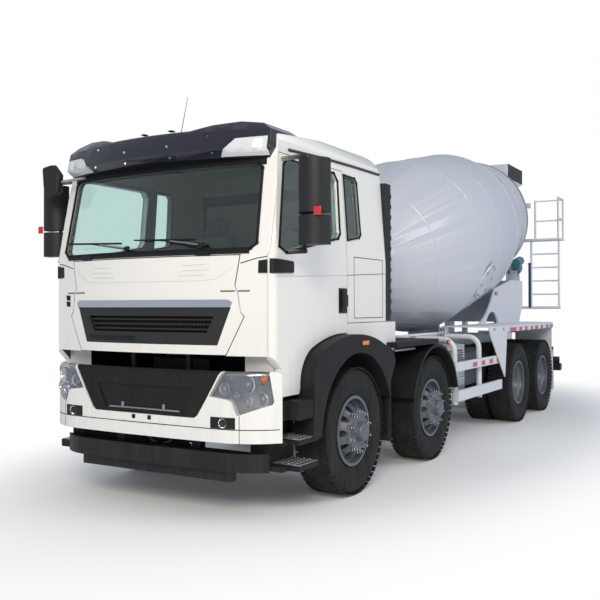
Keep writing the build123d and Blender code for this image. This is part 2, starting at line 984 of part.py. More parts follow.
with BuildPart() as cab_shell:
    add(cab_outside)
    add(cab_inside, mode=Mode.SUBTRACT)
    block(
        (-half_cab + 20, half_cab - 20),
        (firewall, firewall + 30),
        (cab_floor, cab_sill),
    )
    block(
        (-half_cab + 20, half_cab - 20),
        (cab_front + 130, firewall + 30),
        (cab_sill - 30, cab_sill + 6),
    )
    block((-240, 240), (firewall, cab_rear - 30), (cab_floor + 10, 1480))
    add(door_prism(door_gap), mode=Mode.SUBTRACT)
    add(door_prism(door_gap).mirror(Plane.YZ), mode=Mode.SUBTRACT)
    for side in (1, -1):
        block(
            (side * (half_cab - 70), side * (half_cab + 10)),
            (door_rear - 120, cab_rear + 10),
            (cab_floor - 10, skirt_top + door_gap),
            Mode.SUBTRACT,
        )
        block(
            (side * (half_cab - 320), side * (half_cab - door_wall - 10)),
            (axle_1 - 1100, axle_1 - 830),
            (door_bottom + 10, cab_floor + 20),
        )
        block(
            (side * (half_cab - 300), side * (half_cab - door_wall - 5)),
            (axle_1 - 1080, axle_1 - 850),
            (door_bottom + 30, cab_floor + 80),
            Mode.SUBTRACT,
        )
    add(screen_prism, mode=Mode.SUBTRACT)
    add(quarter_prism, mode=Mode.SUBTRACT)
    add(flap_prism, mode=Mode.SUBTRACT)
    for outwards in (-pivot_lug, pivot_lug):
        block(
            (outwards - 22, outwards + 22),
            (pivot_y, firewall + 30),
            (pivot_height - 10, pivot_height + 50),
        )
        block(
            (outwards - 22, outwards + 22),
            (firewall, firewall + 30),
            (pivot_height - 10, cab_floor + 60),
        )
        bar((outwards - 22, pivot_y, pivot_height), (outwards + 22, pivot_y, pivot_height), 52)
        bar(
            (outwards - 30, pivot_y, pivot_height),
            (outwards + 30, pivot_y, pivot_height),
            pivot_radius + pin_gap,
            Mode.SUBTRACT,
        )
finish(cab_shell, "cab_shell")

with BuildPart() as openings:
    add(screen_prism)
    add(quarter_prism)

with BuildPart() as screens:
    add(cab_form(12, cab_floor))
    add(cab_form(12 + glass_wall, cab_floor + 10), mode=Mode.SUBTRACT)
    add(openings.part, mode=Mode.INTERSECT)
finish(screens, "cab_glass")


# ---- Front flap with its grille ---------------------------------------------------------
grille_outline = (
    (-672, 1312),
    (672, 1312),
    (800, 1640),
    (-800, 1640),
)
grille_mesh_outline = (
    (-580, 1405),
    (580, 1405),
    (640, 1530),
    (-640, 1530),
)
grille_prism = front_prism(grille_outline, 300, False)
front_sagitta = cab_corner - cab_front
front_radius = ((half_cab - 60) ** 2 + front_sagitta**2) / (2 * front_sagitta)
flap_draft = 66


def front_face(x):
    """The Y of the cab's front face at a distance x from the middle."""
    return cab_front + front_radius - sqrt(front_radius**2 - x**2)


def edge_draft(foot, head):
    """A wedge along a side edge of the flap: it leaves the skin and narrows what is behind."""
    (foot_x, foot_z), (head_x, head_z) = foot, head
    skin = front_face(foot_x) - 1
    back = skin + flap_wall + 20
    with BuildPart() as wedge:
        with BuildSketch(Plane.XY.offset(foot_z)):
            with BuildLine():
                Polyline(
                    (foot_x - flap_gap, skin),
                    (foot_x - flap_gap - flap_draft, back),
                    (foot_x + 60, back),
                    (foot_x + 60, skin),
                    close=True,
                )
            make_face()
        rise = Vector(head_x - foot_x, front_face(head_x) - front_face(foot_x), head_z - foot_z)
        extrude(amount=rise.length, dir=rise)
        mirror(about=Plane.YZ)
    return wedge.part


with BuildPart() as front_flap:
    add(cab_form(0, cab_floor))
    add(cab_form(flap_wall, cab_floor - 10), mode=Mode.SUBTRACT)
    with BuildSketch(front_plane(front_end - 60)):
        with BuildLine():
            Polyline(*flap_outline, close=True)
        make_face()
        offset(amount=-flap_gap, kind=Kind.INTERSECTION)
    extrude(amount=-500, mode=Mode.INTERSECT)
    add(grille_prism, mode=Mode.SUBTRACT)
    add(edge_draft(flap_outline[6], flap_outline[7]), mode=Mode.SUBTRACT)
    add(edge_draft(flap_outline[10], flap_outline[11]), mode=Mode.SUBTRACT)
finish(front_flap, "front_flap")

with BuildPart() as slats:
    for height in (1430, 1467, 1504):
        block((-640, 640), (cab_front - 10, cab_front + 300), (height - 6, height + 6))
    add(cab_form(16, cab_floor), mode=Mode.INTERSECT)
    add(cab_form(34, cab_floor - 10), mode=Mode.SUBTRACT)

with BuildPart() as flap_grille:
    add(cab_form(4, cab_floor))
    add(cab_form(flap_wall, cab_floor - 10), mode=Mode.SUBTRACT)
    add(grille_prism, mode=Mode.INTERSECT)
    with BuildSketch(front_plane(front_end - 60)):
        with BuildLine():
            Polyline(*grille_mesh_outline, close=True)
        make_face()
    extrude(amount=-500, mode=Mode.SUBTRACT)
    add(slats.part)
finish(flap_grille, "flap_grille")


# ---- Doors, their glass and the mirrors -------------------------------------------------
# As the cab tilts, the doors' lower rear edge passes the nose of the flare on this radius.
door_sweep = hypot(flare_nose_y - pivot_y, flare_nose_height - pivot_height) - seat_gap - 1

with BuildPart() as door_panel:
    add(cab_form(0, door_bottom - 20))
    add(cab_form(door_wall, door_bottom - 30), mode=Mode.SUBTRACT)
    add(door_prism(0), mode=Mode.INTERSECT)
    with BuildSketch(side_plane(half_cab - door_reach)):
        flare_sketch(2 * seat_gap)
    extrude(amount=door_reach + 60, mode=Mode.SUBTRACT)
    with BuildSketch(side_plane(half_cab - door_reach)):
        with Locations((pivot_y, pivot_height)):
            Circle(door_sweep + 60)
            Circle(door_sweep, mode=Mode.SUBTRACT)
        with Locations((flare_nose_y, flare_nose_height - 50)):
            Rectangle(200, 124, mode=Mode.INTERSECT)
    extrude(amount=door_reach + 60, mode=Mode.SUBTRACT)
    with BuildSketch(side_plane(half_cab - door_reach)):
        with BuildLine():
            Polyline(*door_window_outline, close=True)
        make_face()
    extrude(amount=door_reach + 60, mode=Mode.SUBTRACT)
    block(
        (half_cab - 2, half_cab + 24),
        (door_rear - 130, door_rear - 50),
        (1560, 1740),
    )

with BuildPart() as door_pane:
    add(cab_form(14, door_bottom))
    add(cab_form(14 + glass_wall, door_bottom - 10), mode=Mode.SUBTRACT)
    with BuildSketch(side_plane(half_cab - door_reach)):
        with BuildLine():
            Polyline(*door_window_outline, close=True)
        make_face()
    extrude(amount=door_reach + 60, mode=Mode.INTERSECT)

mirror_near = half_cab + 105
mirror_far = half_cab + 340
mirror_y = axle_1 - 1010
with BuildPart() as mirror_set:
    with BuildSketch(Plane.XY.offset(2290)):
        with BuildLine():
            Polyline((mirror_near, mirror_y + 60), (mirror_far, mirror_y + 60))
            ThreePointArc(
                (mirror_far, mirror_y + 60),
                ((mirror_near + mirror_far) / 2, mirror_y - 90),
                (mirror_near, mirror_y + 60),
            )
        make_face()
    extrude(amount=400)
    with BuildSketch(Plane.XY.offset(2055)):
        with BuildLine():
            Polyline((mirror_near, mirror_y + 60), (mirror_far, mirror_y + 60))
            ThreePointArc(
                (mirror_far, mirror_y + 60),
                ((mirror_near + mirror_far) / 2, mirror_y - 90),
                (mirror_near, mirror_y + 60),
            )
        make_face()
    extrude(amount=215)
    bar((half_cab + 150, mirror_y, 2005), (half_cab + 150, mirror_y, 2725), 16)
    for height in (2012, 2716):
        bar((half_cab + 165, mirror_y, height), (half_cab - 80, mirror_y + 20, height), 18)
    add(cab_form(0, door_bottom), mode=Mode.SUBTRACT)

for side_name, flip in (("left", False), ("right", True)):
    for label, source in (("door", door_panel), ("door_glass", door_pane), ("mirror", mirror_set)):
        with BuildPart() as piece:
            add(source.part.mirror(Plane.YZ) if flip else source.part)
        finish(piece, f"{label}_{side_name}")


# ---- Sun visor, wipers, dashboard, seats, air intake ------------------------------------
visor_sweep = 2850
visor_outline = (
    (-1010, 2716),
    (-640, 2728),
    (0, 2738),
    (640, 2728),
    (1010, 2716),
    (1050, 2800),
    (1040, 2930),
    (960, 2985),
    (780, 3010),
    (560, 2990),
    (400, 2950),
    (-400, 2950),
    (-560, 2990),
    (-780, 3010),
    (-960, 2985),
    (-1040, 2930),
    (-1050, 2800),
)
with BuildPart() as sun_visor:
    with BuildSketch(side_plane(0)):
        with BuildLine():
            Polyline(
                (cab_front + 90, 2700),
                (cab_front - 10, 2780),
                (cab_front + 20, 2930),
                (cab_front + 120, 3030),
                (cab_front + 430, 3030),
                (cab_front + 430, 2700),
                close=True,
            )
        make_face()
    revolve(axis=Axis((0, cab_front + visor_sweep, 0), (0, 0, 1)))
    with BuildSketch(front_plane(cab_front - 60)):
        with BuildLine():
            Polyline(*visor_outline, close=True)
        make_face()
    extrude(amount=-700, mode=Mode.INTERSECT)
    add(cab_form(0, cab_floor), mode=Mode.SUBTRACT)
finish(sun_visor, "sun_visor")

wiper_gap = 14
with BuildPart() as wipers:
    for pivot in (560, -180):
        foot = (pivot, cab_front + 40, cab_sill + 60)
        bar(foot, (pivot, cab_front - 12, cab_sill + 52), 20)
        joint = (pivot - 400, cab_front + 24 - wiper_gap, cab_sill + 110)
        bar((pivot, cab_front - 10, cab_sill + 52), joint, 8)
        blade_tip = (pivot - 690, cab_front + 46 - wiper_gap, cab_sill + 120)
        bar((pivot - 60, cab_front + 16 - wiper_gap, cab_sill + 98), blade_tip, 8)
    add(cab_form(0, cab_floor), mode=Mode.SUBTRACT)
finish(wipers, "wipers")

with BuildPart() as dashboard:
    with BuildSketch(side_plane(-half_cab + 75)):
        with BuildLine():
            Polyline(
                (firewall + 30, 1520),
                (firewall + 30, 2000),
                (firewall + 180, 2030),
                (firewall + 330, 1960),
                (firewall + 360, 1800),
                (firewall + 240, 1560),
                close=True,
            )
        make_face()
    extrude(amount=cab_width - 150)
    bar((440, firewall + 250, 1700), (440, firewall + 533, 1899), 45)
    wheel_tilt = Plane(origin=(440, firewall + 530, 1897), z_dir=(0, 0.815, 0.58))
    with Locations(wheel_tilt):
        Torus(225, 16)
        Box(430, 46, 14)
        Box(46, 430, 14)
finish(dashboard, "dashboard")

with BuildPart() as seats:
    for centre in (-520, 520):
        block((centre - 250, centre + 250), (axle_1 - 230, axle_1 + 270), (1480, 1700))
        block((centre - 240, centre + 240), (axle_1 + 210, axle_1 + 330), (1690, 2300))
        block((centre - 130, centre + 130), (axle_1 + 220, axle_1 + 310), (2300, 2480))
        block((centre - 150, centre + 150), (axle_1 - 100, axle_1 + 200), (cab_floor + cab_wall, 1480))
    block((-half_cab + 90, half_cab - 90), (axle_1 + 345, cab_rear - cab_wall), (1480, 1680))
finish(seats, "seats")

with BuildPart() as air_intake:
    block((half_cab - 200, half_cab - 4), (cab_rear, cab_rear + 130), (1470, cab_top - 260))
    for step in range(12):
        low = 1530 + step * 100
        block((half_cab - 206, half_cab), (cab_rear, cab_rear + 138), (low, low + 40))
finish(air_intake, "air_intake")


# ---- Wheel-arch guards and steps over the steered axles ---------------------------------
guard_inner = 770
with BuildPart() as left_guards:
    block((half_cab - 60, half_cab), (door_rear + door_gap, skirt_rear), (1180, skirt_top))
    with BuildSketch(side_plane(half_cab - 100)):
        flare_sketch(0)
    extrude(amount=140, mode=Mode.SUBTRACT)
    with BuildSketch(side_plane(flare_inner)):
        flare_sketch(0)
        with Locations((arch_centre, arch_height)):
            Circle(arch_radius, mode=Mode.SUBTRACT)
        with Locations((arch_centre, 0)):
            Rectangle(4000, 1180, mode=Mode.SUBTRACT)
    extrude(amount=flare_outer - flare_inner)
    with BuildSketch(side_plane(flare_inner)):
        with Locations((arch_centre, arch_height)):
            Circle(arch_radius + 14)
            Circle(arch_radius, mode=Mode.SUBTRACT)
        with Locations((arch_centre, 200)):
            Rectangle(4000, 1000, mode=Mode.SUBTRACT)
    extrude(amount=-420)
    with BuildSketch(side_plane(flare_outer)):
        with Locations((axle_2, arch_height)):
            Circle(arch_2_radius + 28)
            Circle(arch_2_radius, mode=Mode.SUBTRACT)
        with Locations((axle_2, 200)):
            Rectangle(4000, 1000, mode=Mode.SUBTRACT)
    extrude(amount=guard_inner - flare_outer)
    block((guard_inner + 10, flare_outer - 10), (cab_rear + 20, axle_2 + 60), (1212, 1262))
    block((1120, 1180), (axle_1 + 655, axle_1 + 700), (420, 1230))
    block((frame_half, 800), (axle_1 + 800, axle_1 + 860), (930, 990))
    block((frame_half, 800), (axle_2 - 30, axle_2 + 30), (1170, 1215))
    block((780, 800), (axle_1 + 640, axle_1 + 870), (930, 1214))
    block((860, 1000), (bumper_side + 5, axle_1 - 720), (400, 900))
    for reach, setback in ((bumper_half - 5, 5), (flare_outer - 5, 90)):
        block((860, reach), (bumper_side + setback, axle_1 - 720), (760, 900))
        block((860, reach), (bumper_side + setback, axle_1 - 740), (575, 612))
        block((860, reach), (bumper_side + setback, axle_1 - 740), (380, 420))
    block((frame_half, 870), (axle_1 - 1100, axle_1 - 1030), (760, 860))
    block((half_cab - 60, half_cab - 20), (axle_1 + 740, axle_1 + 800), (1180, 1270))

with BuildPart() as front_mudguards:
    add(left_guards.part)
    mirror(about=Plane.YZ)
finish(front_mudguards, "front_mudguards")


# ---- Tanks, battery box and side guards ---------------------------------------------------
with BuildPart() as tanks:
    with BuildSketch(front_plane(axle_2 + 750)):
        with Locations((-805, 830)):
            RectangleRounded(560, 560, 110)
    extrude(amount=-1300)
    for station in (axle_2 + 1000, axle_2 + 1800):
        block((-540, -frame_half), (station - 30, station + 30), (780, 880))
    bar((-990, axle_3 - 1400, deck_top + 165), (-990, axle_3 - 450, deck_top + 165), 150)
    for station in (axle_3 - 1250, axle_3 - 600):
        block((-1090, -890), (station - 20, station + 20), (deck_top, deck_top + 60))
    for height in (680, 930):
        bar((760, axle_2 + 1420, height), (760, axle_3 - 640, height), 118)
        for station in (axle_2 + 1560, axle_3 - 780):
            block((frame_half, 700), (station - 30, station + 30), (height - 30, height + 30))
    block((frame_half, 480), (axle_2 + 1530, axle_2 + 1590), (700, frame_bottom + 100))
    block((frame_half, 480), (axle_3 - 810, axle_3 - 750), (700, frame_bottom + 100))
finish(tanks, "tanks")

with BuildPart() as battery_box:
    block((620, 1085), (axle_2 + 700, axle_2 + 1300), (600, 1150))
    for row in range(6):
        low = 660 + row * 75
        block((1085, 1095), (axle_2 + 740, axle_2 + 1260), (low, low + 34))
    for station in (axle_2 + 800, axle_2 + 1200):
        block((frame_half, 620), (station - 30, station + 30), (820, 900))
finish(battery_box, "battery_box")

guard_x = half_width - 45
with BuildPart() as left_side:
    block((guard_x - 12, guard_x + 20), (axle_2 + 610, axle_3 - 1000), (870, 970))
    block((guard_x - 12, guard_x + 20), (axle_2 + 700, axle_3 - 830), (530, 650))
    bent_tube(
        (
            (frame_half - 20, axle_2 + 720, 1225),
            (guard_x - 44, axle_2 + 720, 1225),
            (guard_x - 44, axle_2 + 760, 490),
        ),
        32,
        130,
    )
    bent_tube(
        (
            (frame_half - 20, axle_2 + 1600, 1225),
            (guard_x - 44, axle_2 + 1600, 1225),
            (guard_x - 44, axle_2 + 1620, 490),
        ),
        32,
        130,
    )
with BuildPart() as side_guards:
    add(left_side.part)
    mirror(about=Plane.YZ)
finish(side_guards, "side_guards")


# ---- Rear wings over the driven axles -----------------------------------------------------
with BuildPart() as left_wing:
    block((deck_inner, half_width - 5), (axle_3 - 660, axle_4 + 540), (deck_top - 14, deck_top))
    block((half_width - 19, half_width - 5), (axle_3 - 660, axle_4 + 540), (1260, deck_top))
    with BuildSketch(side_plane(half_width - 19)):
        with BuildLine():
            Polyline(
                (axle_3 - 1450, deck_top),
                (axle_3 - 660, deck_top),
                (axle_3 - 660, 1260),
                (axle_3 - 760, 675),
                (axle_3 - 1380, 1240),
                close=True,
            )
        make_face()
    extrude(amount=14)
    block((deck_inner, half_width - 5), (axle_3 - 1450, axle_3 - 660), (deck_top - 14, deck_top))
    block((deck_inner, half_width - 20), (axle_4 + 600, axle_4 + 612), (260, 900))
    block((deck_inner, half_width - 20), (axle_4 + 526, axle_4 + 612), (880, 900))
    block((deck_inner, half_width - 20), (axle_4 + 526, axle_4 + 540), (880, deck_top - 14))
    for station in (axle_3 - 1400, axle_3 - 700, bogie_centre, axle_4 + 500):
        block((frame_half, deck_inner + 50), (station - 30, station + 30), (1170, 1230))
        block((deck_inner, deck_inner + 50), (station - 30, station + 30), (1230, deck_top - 14))
with BuildPart() as rear_mudguards:
    add(left_wing.part)
    mirror(about=Plane.YZ)
finish(rear_mudguards, "rear_mudguards")


# ---- Mixer frame: subframe, front pedestal, rear pedestal with roller brackets --------------
pedestal_x = 750
roller_lift = -(ring_radius + running_gap + roller_radius) * cos(radians(roller_angle))
roller_side = (ring_radius + running_gap + roller_radius) * sin(radians(roller_angle))
roller_width = 110
roller_centre = drum_point(ring_station, roller_side, roller_lift)
beam_top = roller_centre.Z - 205
beam_front = axle_1 + 6520
beam_rear = axle_1 + 6950
beam_wall = 20
subframe_stations = (
    axle_1 + 1400,
    axle_1 + 1760,
    axle_2 + 1500,
    axle_3 - 300,
    axle_3 + 400,
    axle_4,
    axle_4 + 700,
)
with BuildPart() as mixer_frame:
    for outwards in (-frame_half, frame_half - 70):
        block((outwards, outwards + 70), (axle_1 + 1150, frame_rear), (frame_top, subframe_top))
    for station in subframe_stations:
        block(
            (-frame_half + 10, frame_half - 10),
            (station - 40, station + 40),
            (subframe_top - 90, subframe_top - 10),
        )
    block((-400, 400), (axle_1 + 1420, axle_1 + 1700), (1530, 1590))
    block((-pedestal_x, pedestal_x), (beam_front, beam_rear), (beam_top - beam_wall, beam_top))
    block((-pedestal_x, pedestal_x), (beam_front, beam_front + beam_wall), (deck_top, beam_top))
    block((-pedestal_x, pedestal_x), (beam_rear - beam_wall, beam_rear), (1620, beam_top))
    for side in (1, -1):
        with BuildSketch(side_plane(side * (frame_half - 60))):
            with BuildLine():
                Polyline(
                    (axle_1 + 1250, subframe_top - 5),
                    (axle_1 + 1420, 1560),
                    (axle_1 + 1700, 1560),
                    (axle_1 + 1860, subframe_top - 5),
                    close=True,
                )
            make_face()
        extrude(amount=side * 40)
        with BuildSketch(side_plane(side * pedestal_x)):
            with BuildLine():
                Line((axle_1 + 4700, deck_top), (axle_1 + 5000, deck_top))
                ThreePointArc(
                    (axle_1 + 5000, deck_top),
                    (axle_1 + 5420, 1500),
                    (axle_1 + 5620, deck_top),
                )
                Polyline(
                    (axle_1 + 5620, deck_top),
                    (axle_1 + 6750, deck_top),
                    (beam_rear, 1620),
                    (beam_rear, beam_top),
                    (axle_1 + 6300, beam_top),
                    (axle_1 + 5450, 1860),
                )
                ThreePointArc(
                    (axle_1 + 5450, 1860),
                    (axle_1 + 5150, 1560),
                    (axle_1 + 4700, deck_top),
                )
            make_face()
        extrude(amount=-side * 30)
        block(
            (side * (frame_half - beam_wall), side * frame_half),
            (beam_front, beam_rear),
            (subframe_top - 5, beam_top),
        )
        for near in (-roller_width / 2 - 10 - 24, roller_width / 2 + 10):
            lug_plane = Plane(
                origin=drum_point(ring_station + near, side * roller_side, roller_lift),
                x_dir=(1, 0, 0),
                z_dir=drum_axis,
            )
            with BuildSketch(lug_plane):
                Circle(55)
                with Locations((0, 115)):
                    Rectangle(110, 230)
            extrude(amount=24)
        pin_start = drum_point(ring_station - 130, side * roller_side, roller_lift)
        pin_end = drum_point(ring_station + 130, side * roller_side, roller_lift)
        bar(tuple(pin_start), tuple(pin_end), 20 + pin_gap, Mode.SUBTRACT)
finish(mixer_frame, "mixer_frame")

for side, side_name in ((1, "left"), (-1, "right")):
    with BuildPart() as roller:
        start = drum_point(ring_station - roller_width / 2, side * roller_side, roller_lift)
        end = drum_point(ring_station + roller_width / 2, side * roller_side, roller_lift)
        bar(tuple(start), tuple(end), roller_radius)
        pin_start = drum_point(ring_station - 105, side * roller_side, roller_lift)
        pin_end = drum_point(ring_station + 105, side * roller_side, roller_lift)
        bar(tuple(pin_start), tuple(pin_end), 20)
    finish(roller, f"roller_{side_name}")


# ---- Drum and its gearbox -------------------------------------------------------------------
shaft_radius = 70
flange_station = drum_front - head_depth - 40
cone_slope = (drum_mouth_radius - drum_radius) / drum_rear_cone
ring_seat = drum_radius + cone_slope * (ring_station - barrel_rear) - drum_wall - 2
with BuildPart() as drum:
    with BuildSketch(drum_plane):
        with BuildLine():
            Line((flange_station - 120, 0), (flange_station - 120, shaft_radius))
            Line((flange_station - 120, shaft_radius), (flange_station, shaft_radius))
            Line((flange_station, shaft_radius), (flange_station, 190))
            Line((flange_station, 190), (drum_front - head_depth + 10, 190))
            ThreePointArc(
                (drum_front - head_depth + 10, 190),
                (drum_front - 70, 440),
                (drum_front, drum_front_radius),
            )
            Polyline(
                (drum_front, drum_front_radius),
                (barrel_front, drum_radius),
                (barrel_rear, drum_radius),
                (drum_mouth, drum_mouth_radius),
                (drum_mouth + 60, drum_mouth_radius),
                (drum_mouth + 60, drum_mouth_radius - drum_wall),
                (drum_mouth, drum_mouth_radius - drum_wall),
                (barrel_rear - 4, drum_radius - drum_wall),
                (barrel_front + 4, drum_radius - drum_wall),
                (drum_front + 12, drum_front_radius - 12),
                (drum_front - 50, 440),
                (drum_front - head_depth + 30, 190),
                (drum_front - head_depth + 30, 0),
                (flange_station - 120, 0),
            )
        make_face()
    revolve(axis=Axis(drum_centre, drum_axis))
    with BuildSketch(drum_plane):
        with BuildLine():
            Polyline(
                (ring_station - ring_width / 2, ring_seat),
                (ring_station - ring_width / 2, ring_radius),
                (ring_station + ring_width / 2, ring_radius),
                (ring_station + ring_width / 2, ring_seat),
                close=True,
            )
        make_face()
    revolve(axis=Axis(drum_centre, drum_axis))
finish(drum, "drum")

gearbox_front = flange_station - 420
with BuildPart() as drum_gearbox:
    with BuildSketch(drum_plane):
        with BuildLine():
            Polyline(
                (gearbox_front - 260, 0),
                (gearbox_front - 260, 85),
                (gearbox_front - 40, 100),
                (gearbox_front, 190),
                (gearbox_front + 120, 215),
                (flange_station - 60, 215),
                (flange_station - seat_gap, 150),
                (flange_station - seat_gap, shaft_radius + pin_gap),
                (flange_station - 124, shaft_radius + pin_gap),
                (flange_station - 124, 0),
                close=True,
            )
        make_face()
    revolve(axis=Axis(drum_centre, drum_axis))
    gearbox_foot = drum_point((gearbox_front + flange_station) / 2 - 40)
    block(
        (-230, 230),
        (gearbox_foot.Y - 120, gearbox_foot.Y + 100),
        (1590, gearbox_foot.Z - 60),
    )
finish(drum_gearbox, "drum_gearbox")


# ---- Rear end: hoppers, stand, ladder, tail bar ----------------------------------------------
stand_y = frame_rear - 60
chute_pivot_y = stand_y + 200
chute_pin_radius = 40
with BuildPart() as discharge_hopper:
    for side in (1, -1):
        block(
            (side * (frame_half - 70), side * frame_half),
            (stand_y - 60, stand_y + 60),
            (subframe_top, 3330),
        )
    block((-frame_half, frame_half), (stand_y - 60, stand_y + 60), (1520, 1600))
    block((-760, 760), (stand_y - 40, stand_y + 40), (3250, 3330))
    block((-100, 100), (stand_y + 60, stand_y + 290), (1540, 1600))
    with Locations((0, chute_pivot_y, 1570)):
        Cylinder(chute_pin_radius + pin_gap, 70, mode=Mode.SUBTRACT)
    with BuildSketch(Plane.XY.offset(2860)):
        with Locations((0, stand_y + 60)):
            Rectangle(700, 620)
    with BuildSketch(Plane.XY.offset(2150)):
        with Locations((0, stand_y + 160)):
            Rectangle(380, 340)
    loft()
    with BuildSketch(Plane.XY.offset(2861)):
        with Locations((0, stand_y + 60)):
            Rectangle(670, 590)
    with BuildSketch(Plane.XY.offset(2149)):
        with Locations((0, stand_y + 160)):
            Rectangle(350, 310)
    loft(mode=Mode.SUBTRACT)
    block((-frame_half + 1, frame_half - 1), (stand_y - 60, stand_y - 30), (2700, 2860))
finish(discharge_hopper, "discharge_hopper")

hopper_top = 3960
hopper_rim = 240
spout_height = 3350
spout_size = 420
spout_y = stand_y - 490
hopper_width = 1000
hopper_depth = 880
hopper_y = stand_y + 20
hopper_wall = 10
hopper_floor = hopper_top - hopper_rim
funnel_wall = 14


def hopper_form(inset, lift):
    """The hopper's straight rim and its funnel, moved inwards by inset and up by lift."""
    with BuildPart() as form:
        block(
            (-hopper_width / 2 + inset, hopper_width / 2 - inset),
            (hopper_y - hopper_depth / 2 + inset, hopper_y + hopper_depth / 2 - inset),
            (hopper_floor + lift, hopper_top + lift),
        )
        with BuildSketch(Plane.XY.offset(hopper_floor + lift)):
            with Locations((0, hopper_y)):
                Rectangle(hopper_width - 2 * inset, hopper_depth - 2 * inset)
        with BuildSketch(Plane.XY.offset(spout_height + lift)):
            with Locations((0, spout_y)):
                Rectangle(spout_size - 2 * inset, spout_size - 2 * inset)
        loft()
    return form.part


with BuildPart() as feed_hopper:
    add(hopper_form(0, 0))
    for side in (1, -1):
        block((side * 190, side * 260), (stand_y - 30, stand_y + 30), (3330, 3530))
    add(hopper_form(hopper_wall, funnel_wall), mode=Mode.SUBTRACT)
    block(
        (-spout_size / 2 + hopper_wall, spout_size / 2 - hopper_wall),
        (spout_y - spout_size / 2 + hopper_wall, spout_y + spout_size / 2 - hopper_wall),
        (spout_height - 1, spout_height + funnel_wall + 1),
        Mode.SUBTRACT,
    )
finish(feed_hopper, "feed_hopper")

ladder_near = 750
ladder_far = 1205
ladder_y = stand_y + 60
platform_height = 2700
with BuildPart() as ladder:
    bar((160, ladder_y + 22, 1572), (ladder_far + 24, ladder_y + 22, 1572), 22)
    for outwards in (ladder_near, ladder_far):
        bar((outwards, ladder_y + 22, 1560), (outwards, ladder_y + 22, platform_height + 10), 18)
    for rung in range(1, 5):
        height = 1572 + rung * 225
        bar((ladder_near, ladder_y + 22, height), (ladder_far, ladder_y + 22, height), 13)
    block((frame_half, 1240), (stand_y - 60, stand_y + 330), (platform_height, platform_height + 24))
    for x, y in ((1222, stand_y - 40), (1222, stand_y + 310), (760, stand_y + 310)):
        bar((x, y, platform_height + 4), (x, y, 3410), 17)
    for height in (3050, 3390):
        bar((1222, stand_y - 57, height), (1222, stand_y + 330, height), 14)
        bar((750, stand_y + 310, height), (1222, stand_y + 310, height), 12)
finish(ladder, "ladder")

with BuildPart() as tail_bar:
    block((-1200, 1200), (frame_rear + 100, frame_rear + 180), (520, 640))
    for side in (1, -1):
        block((side * 940, side * 1200), (frame_rear + 180, frame_rear + 230), (530, 630))
        block(
            (side * frame_half, side * (frame_half + 20)),
            (frame_rear - 120, frame_rear + 100),
            (520, frame_bottom + 100),
        )
finish(tail_bar, "tail_bar")


# ---- Discharge chute: swing bracket, trough, folding extension --------------------------------
shelf_top = 1600
chute_slope = 24
chute_inner = 190
chute_wall = 8
chute_lip = 16
fold_lift = 60
fold_length = 640
ear_wall = 16
chute_start = Vector(0, chute_pivot_y, shelf_top + 340)
chute_run = Vector(0, cos(radians(chute_slope)), -sin(radians(chute_slope)))
chute_up = Vector(0, sin(radians(chute_slope)), cos(radians(chute_slope)))
fold_rise = (fold_lift + chute_inner + chute_wall) * sin(radians(chute_slope))
chute_reach = (rear_end - fold_rise - chute_start.Y) / cos(radians(chute_slope)) + 20
chute_end = chute_start + chute_run * chute_reach
fold_hinge = chute_end + chute_up * fold_lift / 2
ear_near = chute_inner + chute_lip + seat_gap
with BuildPart() as chute_bracket:
    with Locations((0, chute_pivot_y, shelf_top - 28)):
        Cylinder(chute_pin_radius, 80)
    with Locations((0, chute_pivot_y, shelf_top + 18)):
        Cylinder(90, 24)
    block(
        (-ear_near - ear_wall, ear_near + ear_wall),
        (chute_pivot_y - 40, chute_pivot_y + 40),
        (shelf_top + 24, shelf_top + 44),
    )
    for side in (1, -1):
        block(
            (side * ear_near, side * (ear_near + ear_wall)),
            (chute_pivot_y - 40, chute_pivot_y + 40),
            (shelf_top + 24, chute_start.Z + 40),
        )
    pin_ends = [(outwards, chute_start.Y, chute_start.Z) for outwards in (-300, 300)]
    bar(*pin_ends, 15 + pin_gap, Mode.SUBTRACT)
finish(chute_bracket, "chute_bracket")


def trough(origin, run, up, length):
    """A half-round trough with turned-out lips, which starts at origin and opens towards up."""
    outer = chute_inner + chute_wall
    edge = chute_inner + chute_lip
    with BuildSketch(Plane(origin=origin, x_dir=up.cross(run), z_dir=run)) as section:
        with BuildLine():
            Polyline((chute_inner, 0), (edge, 0), (edge, -chute_wall), (outer, -chute_wall))
            ThreePointArc((outer, -chute_wall), (0, -outer), (-outer, -chute_wall))
            Polyline((-outer, -chute_wall), (-edge, -chute_wall), (-edge, 0), (-chute_inner, 0))
            ThreePointArc((-chute_inner, 0), (0, -chute_inner), (chute_inner, 0))
        make_face()
    extrude(section.sketch, amount=length)


with BuildPart() as chute:
    trough(chute_start - chute_run * 160, chute_run, chute_up, chute_reach + 160)
    for side in (1, -1):
        near = side * (chute_inner + chute_wall - 4)
        bar((near, chute_start.Y, chute_start.Z), (side * (ear_near - 1), chute_start.Y, chute_start.Z), 26)
        bar(
            (near, chute_start.Y, chute_start.Z),
            (side * (ear_near + ear_wall), chute_start.Y, chute_start.Z),
            15,
        )
        hinge_plane = Plane(
            origin=fold_hinge + Vector(side * (chute_inner + chute_lip - 7), 0, 0),
            x_dir=chute_run,
            z_dir=(side, 0, 0),
        )
        up_sign = 1 if hinge_plane.y_dir.dot(chute_up) > 0 else -1
        with BuildSketch(hinge_plane):
            Circle(24)
            with Locations((-5, -up_sign * (fold_lift / 2 + chute_wall) / 2)):
                Rectangle(38, fold_lift / 2 + chute_wall)
            Circle(8 + pin_gap, mode=Mode.SUBTRACT)
        extrude(amount=7)
finish(chute, "chute")

